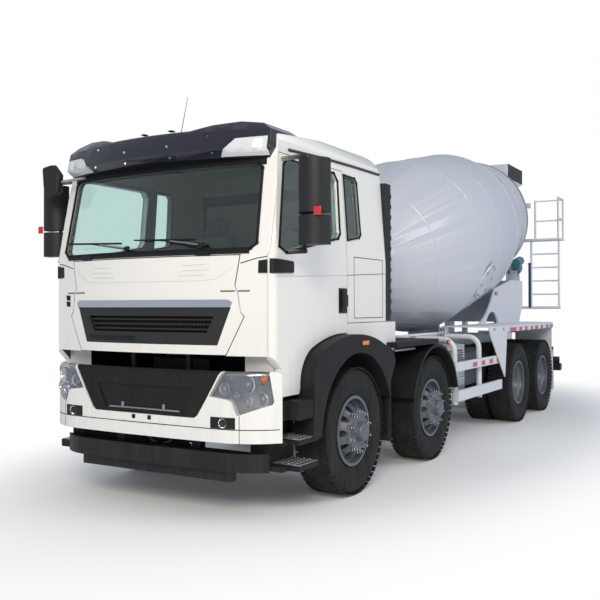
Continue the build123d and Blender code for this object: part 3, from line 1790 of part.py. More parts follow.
with BuildPart() as chute_extension:
    trough(
        chute_end - chute_run * (fold_length + 20) + chute_up * fold_lift,
        chute_run,
        chute_up * -1,
        fold_length,
    )
    for side in (1, -1):
        hinge_plane = Plane(
            origin=fold_hinge + Vector(side * (chute_inner + chute_lip + 1), 0, 0),
            x_dir=chute_run,
            z_dir=(side, 0, 0),
        )
        up_sign = 1 if hinge_plane.y_dir.dot(chute_up) > 0 else -1
        with BuildSketch(hinge_plane):
            Circle(24)
            with Locations((-20, up_sign * (fold_lift / 2 + chute_wall) / 2)):
                Rectangle(88, fold_lift / 2 + chute_wall)
        extrude(amount=7)
        with BuildSketch(hinge_plane):
            with Locations((-44, up_sign * (fold_lift / 2 + chute_wall / 2))):
                Rectangle(40, chute_wall)
        extrude(amount=-10)
        with BuildSketch(hinge_plane):
            Circle(8)
        extrude(amount=-9)
finish(chute_extension, "chute_extension")
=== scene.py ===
import json
from math import cos, pi, radians, sin

import bmesh
import bpy
from mathutils import Matrix, Vector
from mathutils.bvhtree import BVHTree


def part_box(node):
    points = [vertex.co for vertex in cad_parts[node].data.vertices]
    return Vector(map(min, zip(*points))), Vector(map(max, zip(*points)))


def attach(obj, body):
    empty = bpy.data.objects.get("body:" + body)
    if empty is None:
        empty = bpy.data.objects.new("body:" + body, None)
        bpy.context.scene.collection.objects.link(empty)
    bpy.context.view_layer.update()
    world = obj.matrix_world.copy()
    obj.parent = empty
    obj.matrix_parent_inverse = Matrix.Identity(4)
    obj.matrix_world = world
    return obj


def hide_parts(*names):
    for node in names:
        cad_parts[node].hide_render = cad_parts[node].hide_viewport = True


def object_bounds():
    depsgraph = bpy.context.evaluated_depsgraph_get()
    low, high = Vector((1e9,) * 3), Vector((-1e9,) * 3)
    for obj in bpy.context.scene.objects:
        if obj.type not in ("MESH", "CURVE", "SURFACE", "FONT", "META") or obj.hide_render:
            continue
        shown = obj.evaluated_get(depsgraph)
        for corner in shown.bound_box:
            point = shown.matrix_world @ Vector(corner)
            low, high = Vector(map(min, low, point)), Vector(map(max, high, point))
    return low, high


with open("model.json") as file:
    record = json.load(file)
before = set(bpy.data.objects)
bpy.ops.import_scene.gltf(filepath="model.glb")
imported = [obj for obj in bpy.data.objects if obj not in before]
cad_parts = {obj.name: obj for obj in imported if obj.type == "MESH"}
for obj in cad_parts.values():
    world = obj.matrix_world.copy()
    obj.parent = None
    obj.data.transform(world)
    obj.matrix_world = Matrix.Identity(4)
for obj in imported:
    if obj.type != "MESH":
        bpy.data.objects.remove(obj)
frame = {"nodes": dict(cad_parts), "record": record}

cad_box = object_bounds()
scene = bpy.context.scene

# ---- Stations of the truck, in metres --------------------------------------------------
AXLE = {"1": -3.760, "2": -1.960, "3": 1.240, "4": 2.590}
WHEEL_HEIGHT = 0.542
DRUM_TILT = radians(12.34)
DRUM_CENTRE = Vector((0, 0.240, 2.441))
DRUM_AXIS = Vector((0, cos(DRUM_TILT), sin(DRUM_TILT)))
SIDES = {"left": 1, "right": -1}


# ---- Node trees ------------------------------------------------------------------------
def dress(tree, made, **settings):
    """Sets a node. A key with a leading underscore sets one of its sockets, by label or number,
    or links that socket where the value is another node's output."""
    for key, value in settings.items():
        if not key.startswith("_"):
            setattr(made, key, value)
            continue
        label = key[1:]
        socket = made.inputs[int(label) if label.isdigit() else label.replace("_", " ")]
        if isinstance(value, bpy.types.NodeSocket):
            tree.links.new(value, socket)
        else:
            socket.default_value = value
    return made


def node(tree, kind, **settings):
    return dress(tree, tree.nodes.new(kind), **settings)


# ---- Camera, light and floor -----------------------------------------------------------
def make_camera():
    lens = bpy.data.cameras.new("camera")
    lens.sensor_width = 36
    lens.lens = 47.81
    camera = bpy.data.objects.new("camera", lens)
    camera.location = (4.2296, -9.8535, 1.6071)
    camera.rotation_euler = (radians(90.423), radians(0.092), radians(30.535))
    scene.collection.objects.link(camera)
    scene.camera = camera


def make_lamp(name, place, target, width, power, colour):
    light = bpy.data.lights.new(name, "AREA")
    light.shape = "DISK"
    light.size = width
    light.energy = power
    light.color = colour
    lamp = bpy.data.objects.new(name, light)
    lamp.location = place
    lamp.rotation_euler = (Vector(target) - Vector(place)).to_track_quat("-Z", "Y").to_euler()
    scene.collection.objects.link(lamp)


def make_world():
    """A pale sky that lights the truck, and plain white where the camera looks past it."""
    scene.world = bpy.data.worlds.new("studio")
    scene.world.use_nodes = True
    tree = scene.world.node_tree
    tree.nodes.clear()
    paths = node(tree, "ShaderNodeLightPath")
    seen = node(tree, "ShaderNodeMath", operation="MAXIMUM",
                _0=paths.outputs["Is Camera Ray"], _1=paths.outputs["Is Transmission Ray"])
    sky = node(tree, "ShaderNodeBackground", _Color=(0.80, 0.88, 1.0, 1), _Strength=0.50)
    white = node(tree, "ShaderNodeBackground", _Color=(1, 1, 1, 1), _Strength=1.0)
    mix = node(tree, "ShaderNodeMixShader", _0=seen.outputs[0], _1=sky.outputs[0], _2=white.outputs[0])
    node(tree, "ShaderNodeOutputWorld", _Surface=mix.outputs[0])


def make_floor():
    mesh = bpy.data.meshes.new("floor")
    bm = bmesh.new()
    bmesh.ops.create_grid(bm, x_segments=1, y_segments=1, size=60)
    bm.to_mesh(mesh)
    bm.free()
    floor = bpy.data.objects.new("floor", mesh)
    scene.collection.objects.link(floor)
    paint = bpy.data.materials.new("pale_floor")
    paint.use_nodes = True
    tree = paint.node_tree
    surface = dress(tree, tree.nodes["Principled BSDF"], _Base_Color=(0.95, 0.95, 0.95, 1),
                    _Roughness=0.85, _Specular_IOR_Level=0.1)
    # Seen by the camera, the floor turns to plain white away from the truck.
    where = node(tree, "ShaderNodeTexCoord")
    squeeze = node(tree, "ShaderNodeMapping",
                   _Vector=where.outputs["Object"], _Scale=(1 / 3.6, 1 / 8.2, 1))
    distance = node(tree, "ShaderNodeVectorMath", operation="LENGTH", _0=squeeze.outputs[0])
    fade = node(tree, "ShaderNodeMapRange", interpolation_type="SMOOTHSTEP",
                _Value=distance.outputs["Value"], _From_Min=0.55, _From_Max=1.0, _To_Min=0.05)
    paths = node(tree, "ShaderNodeLightPath")
    seen = node(tree, "ShaderNodeMath", operation="MULTIPLY",
                _0=fade.outputs[0], _1=paths.outputs["Is Camera Ray"])
    white = node(tree, "ShaderNodeEmission", _Color=(1, 1, 1, 1))
    mix = node(tree, "ShaderNodeMixShader",
               _0=seen.outputs[0], _1=surface.outputs[0], _2=white.outputs[0])
    tree.links.new(mix.outputs[0], tree.nodes["Material Output"].inputs["Surface"])
    mesh.materials.append(paint)


# ---- Finishes --------------------------------------------------------------------------
ROAD_DUST = (0.22, 0.20, 0.17, 1)


def build_weathering():
    """Colour drift, road dust that thickens towards the ground, and a fine surface texture."""
    tree = bpy.data.node_groups.new("weathering", "ShaderNodeTree")
    for in_out, sockets in (
        ("INPUT", {"Vector": "Vector", "Color": "Color", "Dust": "Float", "Drift": "Float",
                   "Roughness": "Float", "Grain Scale": "Float", "Grain Depth": "Float"}),
        ("OUTPUT", {"Color": "Color", "Roughness": "Float", "Normal": "Vector"}),
    ):
        for label, kind in sockets.items():
            tree.interface.new_socket(name=label, in_out=in_out, socket_type="NodeSocket" + kind)
    given, result = tree.nodes.new("NodeGroupInput"), tree.nodes.new("NodeGroupOutput")
    place = given.outputs["Vector"]
    broad = node(tree, "ShaderNodeTexNoise", _Vector=place, _Scale=2.3, _Detail=5.0, _Roughness=0.6)
    streaks = node(tree, "ShaderNodeMapping", vector_type="POINT", _Vector=place, _Scale=(9.0, 9.0, 1.3))
    runs = node(tree, "ShaderNodeTexNoise", _Vector=streaks.outputs[0],
                _Scale=2.0, _Detail=6.0, _Roughness=0.65)
    centred = node(tree, "ShaderNodeMath", operation="SUBTRACT", _0=broad.outputs["Fac"], _1=0.5)
    drift = node(tree, "ShaderNodeMath", operation="MULTIPLY_ADD",
                 _0=centred.outputs[0], _1=given.outputs["Drift"], _2=1.0)
    tinted = node(tree, "ShaderNodeVectorMath", operation="SCALE",
                  _0=given.outputs["Color"], _Scale=drift.outputs[0])

    split = node(tree, "ShaderNodeSeparateXYZ", _0=place)
    low = node(tree, "ShaderNodeMapRange", interpolation_type="SMOOTHSTEP", _Value=split.outputs["Z"],
               _From_Min=2.2, _From_Max=0.0, _To_Min=0.15, _To_Max=1.0)
    patchy = node(tree, "ShaderNodeMapRange", interpolation_type="SMOOTHSTEP",
                  _Value=runs.outputs["Fac"], _From_Min=0.38, _From_Max=0.72)
    height = node(tree, "ShaderNodeMath", operation="MULTIPLY", _0=low.outputs[0], _1=patchy.outputs[0])
    dusty = node(tree, "ShaderNodeMath", operation="MULTIPLY",
                 _0=height.outputs[0], _1=given.outputs["Dust"])
    blend = node(tree, "ShaderNodeMix", data_type="RGBA", _Factor=dusty.outputs[0],
                 _6=tinted.outputs[0], _7=ROAD_DUST)

    rough = node(tree, "ShaderNodeMath", operation="MULTIPLY_ADD",
                 _0=dusty.outputs[0], _1=0.45, _2=given.outputs["Roughness"])
    mottled = node(tree, "ShaderNodeMath", operation="MULTIPLY_ADD",
                   _0=centred.outputs[0], _1=0.10, _2=rough.outputs[0])
    grain = node(tree, "ShaderNodeTexNoise", _Vector=place, _Scale=given.outputs["Grain Scale"],
                 _Detail=3.0, _Roughness=0.55)
    bump = node(tree, "ShaderNodeBump", _Distance=0.002,
                _Strength=given.outputs["Grain Depth"], _Height=grain.outputs["Fac"])
    dress(tree, result, _Color=blend.outputs[2], _Roughness=mottled.outputs[0], _Normal=bump.outputs[0])
    return tree


weathering = build_weathering()
paints = {}


def new_paint(name):
    """A new material: its tree, its main shader and the place on the truck, for textures."""
    paints[name] = bpy.data.materials.new(name)
    paints[name].use_nodes = True
    tree = paints[name].node_tree
    return tree, tree.nodes["Principled BSDF"], node(tree, "ShaderNodeTexCoord").outputs["Object"]


def weathered(name, colour, roughness, metallic=0.0, coat=0.0, dust=0.15, drift=0.06,
              grain=220.0, depth=0.06, shine=0.5):
    """A finish whose colour, roughness and texture come from the weathering group."""
    tree, surface, place = new_paint(name)
    aged = node(tree, "ShaderNodeGroup", node_tree=weathering, _Vector=place, _Color=(*colour, 1),
                _Dust=dust, _Drift=drift, _Roughness=roughness,
                _Grain_Scale=grain, _Grain_Depth=depth)
    dress(tree, surface, _Base_Color=aged.outputs["Color"], _Roughness=aged.outputs["Roughness"],
          _Normal=aged.outputs["Normal"], _Specular_IOR_Level=shine, _Metallic=metallic,
          _Coat_Weight=coat, _Coat_Roughness=0.05)


def clear(name, colour):
    """Glass or a clear lens, with faint streaks in its roughness."""
    tree, surface, place = new_paint(name)
    film = node(tree, "ShaderNodeTexNoise", _Vector=place, _Scale=6.0, _Detail=4.0)
    spread = node(tree, "ShaderNodeMapRange", _Value=film.outputs["Fac"], _To_Min=0.0, _To_Max=0.05)
    dress(tree, surface, _Base_Color=(*colour, 1), _Transmission_Weight=1.0, _IOR=1.45,
          _Roughness=spread.outputs[0])


weathered("cab_white", (0.86, 0.85, 0.82), 0.22, coat=0.6, dust=0.10, drift=0.03, depth=0.02)
weathered("bumper_white", (0.84, 0.84, 0.82), 0.28, coat=0.5, dust=0.12, drift=0.04, depth=0.03)
weathered("drum_paint", (0.60, 0.62, 0.68), 0.30, coat=0.3, dust=0.08, drift=0.04, grain=40, depth=0.02)
weathered("seam_paint", (0.84, 0.86, 0.89), 0.35, dust=0.10)
weathered("frame_white", (0.72, 0.74, 0.79), 0.38, dust=0.18, drift=0.06, depth=0.08)
weathered("chassis_black", (0.012, 0.012, 0.014), 0.42, dust=0.07, drift=0.10, depth=0.12, shine=0.3)
weathered("trim_black", (0.010, 0.010, 0.011), 0.55, dust=0.04, drift=0.08,
          grain=900, depth=0.30, shine=0.25)
weathered("satin_black", (0.009, 0.009, 0.010), 0.38, dust=0.03, drift=0.08,
          grain=600, depth=0.15, shine=0.3)
weathered("grille_dark", (0.022, 0.022, 0.023), 0.42, dust=0.04, drift=0.10,
          grain=700, depth=0.2, shine=0.35)
weathered("seal_rubber", (0.007, 0.007, 0.008), 0.6, dust=0.03, drift=0.1,
          grain=500, depth=0.2, shine=0.25)
weathered("visor_blue", (0.012, 0.012, 0.024), 0.14, coat=0.5, dust=0.03, drift=0.08, depth=0.02)
weathered("tyre_rubber", (0.012, 0.012, 0.013), 0.70, dust=0.10, drift=0.15,
          grain=380, depth=0.35, shine=0.25)
weathered("rim_steel", (0.13, 0.145, 0.175), 0.38, metallic=0.3, dust=0.15, drift=0.12, depth=0.12)
weathered("bare_steel", (0.42, 0.43, 0.45), 0.32, metallic=0.9, dust=0.15, drift=0.15, depth=0.12)
weathered("nut_steel", (0.62, 0.63, 0.64), 0.25, metallic=1.0, dust=0.10, drift=0.15, depth=0.10)
weathered("chrome", (0.80, 0.81, 0.83), 0.06, metallic=1.0, dust=0.05, drift=0.05, depth=0.01)
weathered("aluminium", (0.60, 0.61, 0.63), 0.30, metallic=0.85, dust=0.15, drift=0.10, depth=0.10)
weathered("tank_grey", (0.16, 0.17, 0.19), 0.40, metallic=0.2, dust=0.25, drift=0.15, depth=0.12)
weathered("orange_lens", (0.85, 0.20, 0.03), 0.22, coat=0.6, dust=0.05, drift=0.1, grain=900, depth=0.3)
weathered("red_tape", (0.62, 0.05, 0.06), 0.30, coat=0.3, dust=0.10, grain=1500, depth=0.4)
weathered("white_tape", (0.82, 0.80, 0.80), 0.30, coat=0.3, dust=0.10, grain=1500, depth=0.4)
weathered("red_lens", (0.55, 0.02, 0.02), 0.18, coat=0.7, dust=0.05, grain=900, depth=0.3)
weathered("lamp_bowl", (0.72, 0.74, 0.78), 0.16, metallic=0.55, dust=0.02, drift=0.03, depth=0.02)
weathered("lamp_tray", (0.20, 0.21, 0.23), 0.20, metallic=0.6, dust=0.03, drift=0.2, grain=90, depth=0.2)
# A darker tone of the cab white: painted shade along pressed ribs, creases and the body line.
weathered("rib_shade", (0.60, 0.59, 0.56), 0.30, coat=0.4, dust=0.05, drift=0.05, depth=0.02)
weathered("lamp_white", (0.70, 0.72, 0.75), 0.15, coat=0.7, dust=0.05, drift=0.05, depth=0.02)
weathered("mirror_black", (0.016, 0.016, 0.018), 0.48, dust=0.05, drift=0.1,
          grain=1200, depth=0.30, shine=0.35)
weathered("arm_grey", (0.30, 0.30, 0.29), 0.45, dust=0.12, drift=0.12, depth=0.12)
weathered("teal_paint", (0.05, 0.18, 0.20), 0.35, dust=0.12, drift=0.15, depth=0.15)
weathered("post_blue", (0.025, 0.045, 0.13), 0.32, dust=0.10, drift=0.15, depth=0.10)
weathered("flap_rubber", (0.016, 0.016, 0.018), 0.65, dust=0.12, drift=0.15,
          grain=260, depth=0.4, shine=0.25)
weathered("seat_cloth", (0.10, 0.10, 0.11), 0.85, dust=0.0, drift=0.2, grain=1800, depth=0.6)
weathered("cab_trim", (0.30, 0.29, 0.27), 0.65, dust=0.0, drift=0.08, grain=1200, depth=0.3)
weathered("dash_grey", (0.10, 0.10, 0.105), 0.60, dust=0.02, drift=0.1, grain=1400, depth=0.35)
clear("glazing", (0.72, 0.86, 0.84))
clear("lamp_lens", (0.97, 0.98, 1.0))


# ---- Making pieces ---------------------------------------------------------------------
FRONT, LEFT, RIGHT = (0, -1, 0), (1, 0, 0), (-1, 0, 0)
facing_cache = {}
tree_cache = {}


def facing_faces(node_name, facing):
    """A mesh of the CAD node's faces that look towards facing."""
    key = (node_name, tuple(round(c, 3) for c in facing))
    if key not in facing_cache:
        bm = bmesh.new()
        bm.from_mesh(frame["nodes"][node_name].data)
        bmesh.ops.remove_doubles(bm, verts=bm.verts[:], dist=2e-5)
        away = [f for f in bm.faces if f.normal.dot(facing) < 0.30]
        bmesh.ops.delete(bm, geom=away, context="FACES")
        facing_cache[key] = bm
    return facing_cache[key]


def cast(node_names, start, towards):
    """Where a straight line first meets one of the CAD nodes: the point and the face's normal."""
    hits = []
    for node_name in node_names:
        if node_name not in tree_cache:
            bm = bmesh.new()
            bm.from_mesh(frame["nodes"][node_name].data)
            tree_cache[node_name] = BVHTree.FromBMesh(bm)
            bm.free()
        hits.append(tree_cache[node_name].ray_cast(Vector(start), Vector(towards).normalized()))
    place, normal, _, _ = min((hit for hit in hits if hit[0]), key=lambda hit: hit[3])
    return place, normal


def grow(bm, run):
    """Thickens a sheet of faces into a closed cover that stays behind the truck's foremost point."""
    grown = bmesh.ops.extrude_face_region(bm, geom=bm.faces[:], use_keep_orig=True)
    moved = [g for g in grown["geom"] if isinstance(g, bmesh.types.BMVert)]
    bmesh.ops.translate(bm, verts=moved, vec=run)
    for vert in bm.verts:
        vert.co.y = max(vert.co.y, cad_box[0][1])
    bmesh.ops.recalc_face_normals(bm, faces=bm.faces[:])


def corners(faces):
    return list({v for f in faces for v in f.verts})


def round_edges(bm, verts, width, steps):
    edges = list({e for v in verts for e in v.link_edges})
    bmesh.ops.bevel(bm, geom=edges, offset=width, segments=steps, profile=0.5,
                    affect="EDGES", material=-1, clamp_overlap=True)


# How far a cover reaches into the face under it.
SINK = 0.001


class Piece:
    """A mesh under construction; each form it takes on wears the paint in use."""

    def __init__(self, name, *paint_names):
        self.name = name
        self.bm = bmesh.new()
        self.paint_names = list(paint_names)
        self.index = 0

    def wear(self, paint_name):
        if paint_name not in self.paint_names:
            self.paint_names.append(paint_name)
        self.index = self.paint_names.index(paint_name)
        return self

    def paint(self, faces):
        for face in faces:
            face.material_index = self.index

    def since(self, before):
        """The faces that weren't there before."""
        return [f for f in self.bm.faces if f not in before]

    def cube(self, matrix):
        """A unit cube, placed and sized by the matrix: its corners."""
        made = bmesh.ops.create_cube(self.bm, size=1, matrix=matrix)
        self.paint({f for v in made["verts"] for f in v.link_faces})
        return made["verts"]

    def block(self, x, y, z, round_off=0.0, steps=2):
        """A box between two limits along each axis, its edges rounded off."""
        size = Matrix.Diagonal((x[1] - x[0], y[1] - y[0], z[1] - z[0], 1))
        centre = Matrix.Translation([(s[0] + s[1]) / 2 for s in (x, y, z)])
        verts = self.cube(centre @ size)
        if round_off:
            round_edges(self.bm, verts, round_off, steps)

    def rod(self, start, end, radius, sides=16, end_radius=None):
        """A round bar or a cone between two points."""
        start, end = Vector(start), Vector(end)
        run = end - start
        matrix = Matrix.Translation((start + end) / 2) @ run.to_track_quat("Z", "Y").to_matrix().to_4x4()
        made = bmesh.ops.create_cone(
            self.bm, cap_ends=True, segments=sides, radius1=radius,
            radius2=radius if end_radius is None else end_radius, depth=run.length, matrix=matrix)
        self.paint({f for v in made["verts"] for f in v.link_faces})

    def lathe(self, outline, origin, axis, sides=48, closed=False):
        """An outline of (station, radius) pairs turned once about an axis through origin."""
        origin, axis = Vector(origin), Vector(axis).normalized()
        out = axis.orthogonal().normalized()
        verts = [self.bm.verts.new(origin + axis * s + out * r) for s, r in outline]
        ends = list(zip(verts, verts[1:])) + ([(verts[-1], verts[0])] if closed else [])
        edges = [self.bm.edges.new(pair) for pair in ends]
        before = set(self.bm.faces)
        bmesh.ops.spin(self.bm, geom=verts + edges, cent=origin, axis=axis,
                       dvec=(0, 0, 0), angle=2 * pi, steps=sides, use_merge=True)
        bmesh.ops.remove_doubles(self.bm, verts=corners(self.since(before)), dist=1e-5)
        faces = self.since(before)
        self.paint(faces)
        bmesh.ops.recalc_face_normals(self.bm, faces=faces)

    def plate(self, outline, run):
        """A flat outline of points, extruded by run: its corners."""
        verts = [self.bm.verts.new(point) for point in outline]
        face = self.bm.faces.new(verts)
        made = bmesh.ops.extrude_face_region(self.bm, geom=[face], use_keep_orig=True)
        moved = [g for g in made["geom"] if isinstance(g, bmesh.types.BMVert)]
        bmesh.ops.translate(self.bm, verts=moved, vec=Vector(run))
        faces = list({f for v in verts + moved for f in v.link_faces})
        self.paint(faces)
        bmesh.ops.recalc_face_normals(self.bm, faces=faces)
        return verts + moved

    def tube(self, points, radius):
        """A bent round tube that follows a smooth line through the run of points."""
        curve = bpy.data.curves.new("route", "CURVE")
        curve.dimensions = "3D"
        curve.bevel_depth = radius
        curve.bevel_resolution = 3
        curve.use_fill_caps = True
        curve.resolution_u = 6
        spline = curve.splines.new("NURBS")
        spline.points.add(len(points) - 1)
        for point, place in zip(spline.points, points):
            point.co = (*place, 1)
        spline.order_u = 3
        spline.use_endpoint_u = True
        holder = bpy.data.objects.new("route", curve)
        mesh = bpy.data.meshes.new_from_object(holder)
        before = set(self.bm.faces)
        self.bm.from_mesh(mesh)
        self.paint(self.since(before))
        bpy.data.objects.remove(holder)
        bpy.data.curves.remove(curve)
        bpy.data.meshes.remove(mesh)

    def node_shape(self, node_name):
        """The CAD node's own shape, merged and with its flat faces joined."""
        self.bm.from_mesh(frame["nodes"][node_name].data)
        bmesh.ops.remove_doubles(self.bm, verts=corners(self.bm.faces), dist=2e-5)
        edges = list({e for f in self.bm.faces for e in f.edges})
        bmesh.ops.dissolve_limit(self.bm, angle_limit=radians(0.6),
                                 verts=corners(self.bm.faces), edges=edges)

    def skin(self, node_name, facing, outline, thick=0.003, ends_at=None):
        """A thin cover on a CAD node: its faces that look one way, cut to a convex outline.

        The outline is in (x, z) for what faces front or rear, and in (y, z) for the sides.
        """
        facing = Vector(facing).normalized()
        part = facing_faces(node_name, facing).copy()
        sideways = abs(facing.x) > 0.8
        cuts = []
        centre = sum((Vector(p) for p in outline), Vector((0, 0))) / len(outline)
        for (a, b), (c, d) in zip(outline, outline[1:] + outline[:1]):
            across = Vector((d - b, a - c))
            if across.dot(Vector((a, b)) - centre) < 0:
                across = -across
            place = (0, a, b) if sideways else (a, 0, b)
            outwards = (0, *across) if sideways else (across[0], 0, across[1])
            cuts.append((place, outwards))
        if ends_at is not None:
            cuts.append(((0, ends_at, 0), (0, 1, 0)))
        for place, outwards in cuts:
            bmesh.ops.bisect_plane(part, geom=part.verts[:] + part.edges[:] + part.faces[:],
                                   plane_co=place, plane_no=outwards, clear_outer=True)
        bmesh.ops.translate(part, verts=part.verts[:], vec=facing * -SINK)
        grow(part, facing * (thick + SINK))
        self.join(part)

    def seam(self, node_name, facing, points, width=0.006, thick=0.0015):
        """A narrow line that follows a CAD node's face through a run of points."""
        for start, end in zip(points, points[1:]):
            start, end = Vector(start), Vector(end)
            along = (end - start).normalized() * width / 2
            across = Vector((-along.y, along.x))
            outline = (start - along + across, end + along + across,
                       end + along - across, start - along - across)
            self.skin(node_name, facing, [tuple(c) for c in outline], thick)

    def join(self, part):
        """Joins another mesh to this one, in the paint in use, and frees it."""
        mesh = bpy.data.meshes.new("part")
        part.to_mesh(mesh)
        part.free()
        before = len(self.bm.faces)
        self.bm.from_mesh(mesh)
        self.bm.faces.ensure_lookup_table()
        self.paint(self.bm.faces[before:])
        bpy.data.meshes.remove(mesh)

    def finish(self, body, replaces=(), smooth=32, bevel=0.0):
        """The finished object, which rides on its body."""
        mesh = bpy.data.meshes.new(self.name)
        self.bm.to_mesh(mesh)
        self.bm.free()
        for paint_name in self.paint_names:
            mesh.materials.append(paints[paint_name])
        mesh.shade_smooth()
        mesh.set_sharp_from_angle(angle=radians(smooth))
        made = bpy.data.objects.new(self.name, mesh)
        scene.collection.objects.link(made)
        if bevel:
            rounded = made.modifiers.new("rounded", "BEVEL")
            rounded.width = bevel
            rounded.segments = 2
            rounded.limit_method = "ANGLE"
            rounded.angle_limit = radians(35)
            rounded.harden_normals = True
        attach(made, body)
        if replaces:
            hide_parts(*replaces)
        return made


make_camera()
make_world()
make_lamp("key", (6.0, -14.0, 7.0), (0, -3.0, 1.2), 5.0, 900, (1.0, 0.91, 0.78))
make_lamp("side", (13.0, 0.0, 9.0), (0, 0.0, 1.5), 8.0, 480, (0.90, 0.95, 1.0))
make_floor()

bodies_of = {n: b for b, names in frame["record"]["behaviour"]["bodies"].items() for n in names}


def refined(node_name, paint_name, bevel):
    """A CAD node's own shape with its edges eased, in the given paint."""
    piece = Piece(node_name + "_finished", paint_name)
    piece.node_shape(node_name)
    return piece.finish(bodies_of[node_name], (node_name,), 30, bevel)


REFINED = (
    ("chassis_frame", "chassis_black", 0.004),
    ("engine", "chassis_black", 0.010),
    ("axles", "chassis_black", 0.0),
    ("bumper", "bumper_white", 0.004),
    ("bumper_grille", "trim_black", 0.004),
    ("front_mudguards", "trim_black", 0.004),
    ("tanks", "tank_grey", 0.006),
    ("battery_box", "aluminium", 0.004),
    ("side_guards", "frame_white", 0.0),
    ("mixer_frame", "frame_white", 0.003),
    ("drum_gearbox", "chassis_black", 0.006),
    ("rear_mudguards", "frame_white", 0.002),
    ("feed_hopper", "frame_white", 0.003),
    ("discharge_hopper", "frame_white", 0.003),
    ("ladder", "frame_white", 0.0),
    ("tail_bar", "chassis_black", 0.004),
    ("cab_shell", "cab_white", 0.004),
    ("cab_glass", "glazing", 0.0),
    ("sun_visor", "visor_blue", 0.012),
    ("wipers", "satin_black", 0.0),
    ("dashboard", "dash_grey", 0.004),
    ("air_intake", "satin_black", 0.004),
    *((f"door_{side}", "cab_white", 0.003) for side in SIDES),
    *((f"door_glass_{side}", "glazing", 0.0) for side in SIDES),
    *((f"mirror_{side}", "mirror_black", 0.010) for side in SIDES),
    ("front_flap", "cab_white", 0.003),
    ("flap_grille", "grille_dark", 0.002),
    ("drum", "drum_paint", 0.0),
    *((f"roller_{side}", "bare_steel", 0.003) for side in SIDES),
    ("chute_bracket", "chassis_black", 0.002),
    ("chute", "frame_white", 0.0015),
    ("chute_extension", "frame_white", 0.0015),
    *((f"tie_rod_{axle}", "bare_steel", 0.0) for axle in "12"),
    *((f"knuckle_{axle}_{side}", "chassis_black", 0.0) for axle in "12" for side in SIDES),
    *((f"wheel_{axle}_{side}", "rim_steel", 0.0) for axle in AXLE for side in SIDES),
    *((f"tyre_{axle}_{side}", "tyre_rubber", 0.0) for axle in AXLE for side in SIDES),
)


def repaint(piece, paint_name, chosen):
    """Gives another paint to the faces of a finished piece that chosen picks by centre and normal."""
    mesh = piece.data
    mesh.materials.append(paints[paint_name])
    index = len(mesh.materials) - 1
    for face in mesh.polygons:
        if chosen(face.center, face.normal):
            face.material_index = index


finished = {name: refined(name, paint, bevel) for name, paint, bevel in REFINED}
# The bumper's face stands back a little, so that its seams and covers end at the truck's own front.
COVER_DEPTH = 0.0025
for vert in finished["bumper"].data.vertices:
    vert.co.y = max(vert.co.y, cad_box[0][1] + COVER_DEPTH)

CAB_MIDDLE = Vector((0, -4.0, 2.1))
CAB_FLOOR = 1.26


def cab_lining(c, n):
    inside = abs(c.x) < 1.09 and -5.06 < c.y < -3.03 and CAB_FLOOR < c.z < 2.96
    return inside and n.dot(CAB_MIDDLE - c) > 0


# Painted shade: the faces in the recess under the flap, and the cab wall behind the flap, are picked out
# to be painted black where the flap shades them.
def painted_shade_in_cab_recess(c, n):
    under_the_flap = c.z < 1.262 and abs(c.x) < 0.90 and n.y < 0.9
    behind_the_flap = n.y < -0.9 and -4.95 < c.y < -4.87 and c.z < 1.6
    return under_the_flap or behind_the_flap


def white_skirt(c, n):
    return 1.055 < abs(c.x) < 1.121 and c.z > 1.275 and c.y > -3.9


repaint(finished["front_mudguards"], "cab_white", white_skirt)
repaint(finished["cab_shell"], "cab_trim", cab_lining)
# Painted shade: the recess under and behind the flap is painted satin black.
repaint(finished["cab_shell"], "satin_black", painted_shade_in_cab_recess)
repaint(finished["feed_hopper"], "chassis_black", lambda c, n: c.z > 3.80 and abs(n.z) < 0.7)
for side in SIDES:
    repaint(finished["door_" + side], "dash_grey", lambda c, n: abs(c.x) < 1.075 and n.x * c.x < -0.3)
    repaint(finished["door_" + side], "satin_black", lambda c, n: abs(c.x) > 1.1205 and 1.55 < c.z < 1.75)
    repaint(finished["mirror_" + side], "arm_grey",
            lambda c, n: abs(c.x) < 1.17 and (c.z > 2.69 or c.z < 2.04))
repaint(finished["dashboard"], "seal_rubber", lambda c, n: c.y > -4.62 and c.x > 0.18)
repaint(finished["tanks"], "seam_paint", lambda c, n: c.z > 1.35)


# ---- Cab -------------------------------------------------------------------------------
CAB_BOW = 0.125
CAB_BOW_HALF = 1.06


def front_bow(x):
    """How far the cab's front curves back, at x from the middle."""
    return CAB_BOW * (x / CAB_BOW_HALF) ** 2


SCREEN = ((-0.975, 2.075), (-0.935, 2.040), (0.935, 2.040), (0.975, 2.075),
          (0.955, 2.640), (0.925, 2.672), (-0.925, 2.672), (-0.955, 2.640))
QUARTER = ((-3.755, 2.178), (-3.535, 2.214), (-3.510, 2.240),
           (-3.520, 2.690), (-3.550, 2.723), (-3.755, 2.728))
DOOR_WINDOW = ((-4.873, 2.051), (-4.788, 2.016), (-3.940, 2.180), (-3.905, 2.220),
               (-3.890, 2.660), (-3.940, 2.715), (-4.688, 2.715), (-4.738, 2.670))


def closed(points):
    return [*points, points[0]]


def band(low_half, high_half, low, high):
    """The outline of a band across the middle: its half widths at the bottom and the top."""
    return (-low_half, low), (low_half, low), (high_half, high), (-high_half, high)


def patch(near, far, low, high):
    return (near, low), (far, low), (far, high), (near, high)


def flip(side, *points):
    """Points given for the left side, on the side asked for."""
    return [(side * x, *rest) for x, *rest in points]


def span(side, near, far):
    """Limits along x, on one side, of what lies between two distances from the middle."""
    return sorted((side * near, side * far))


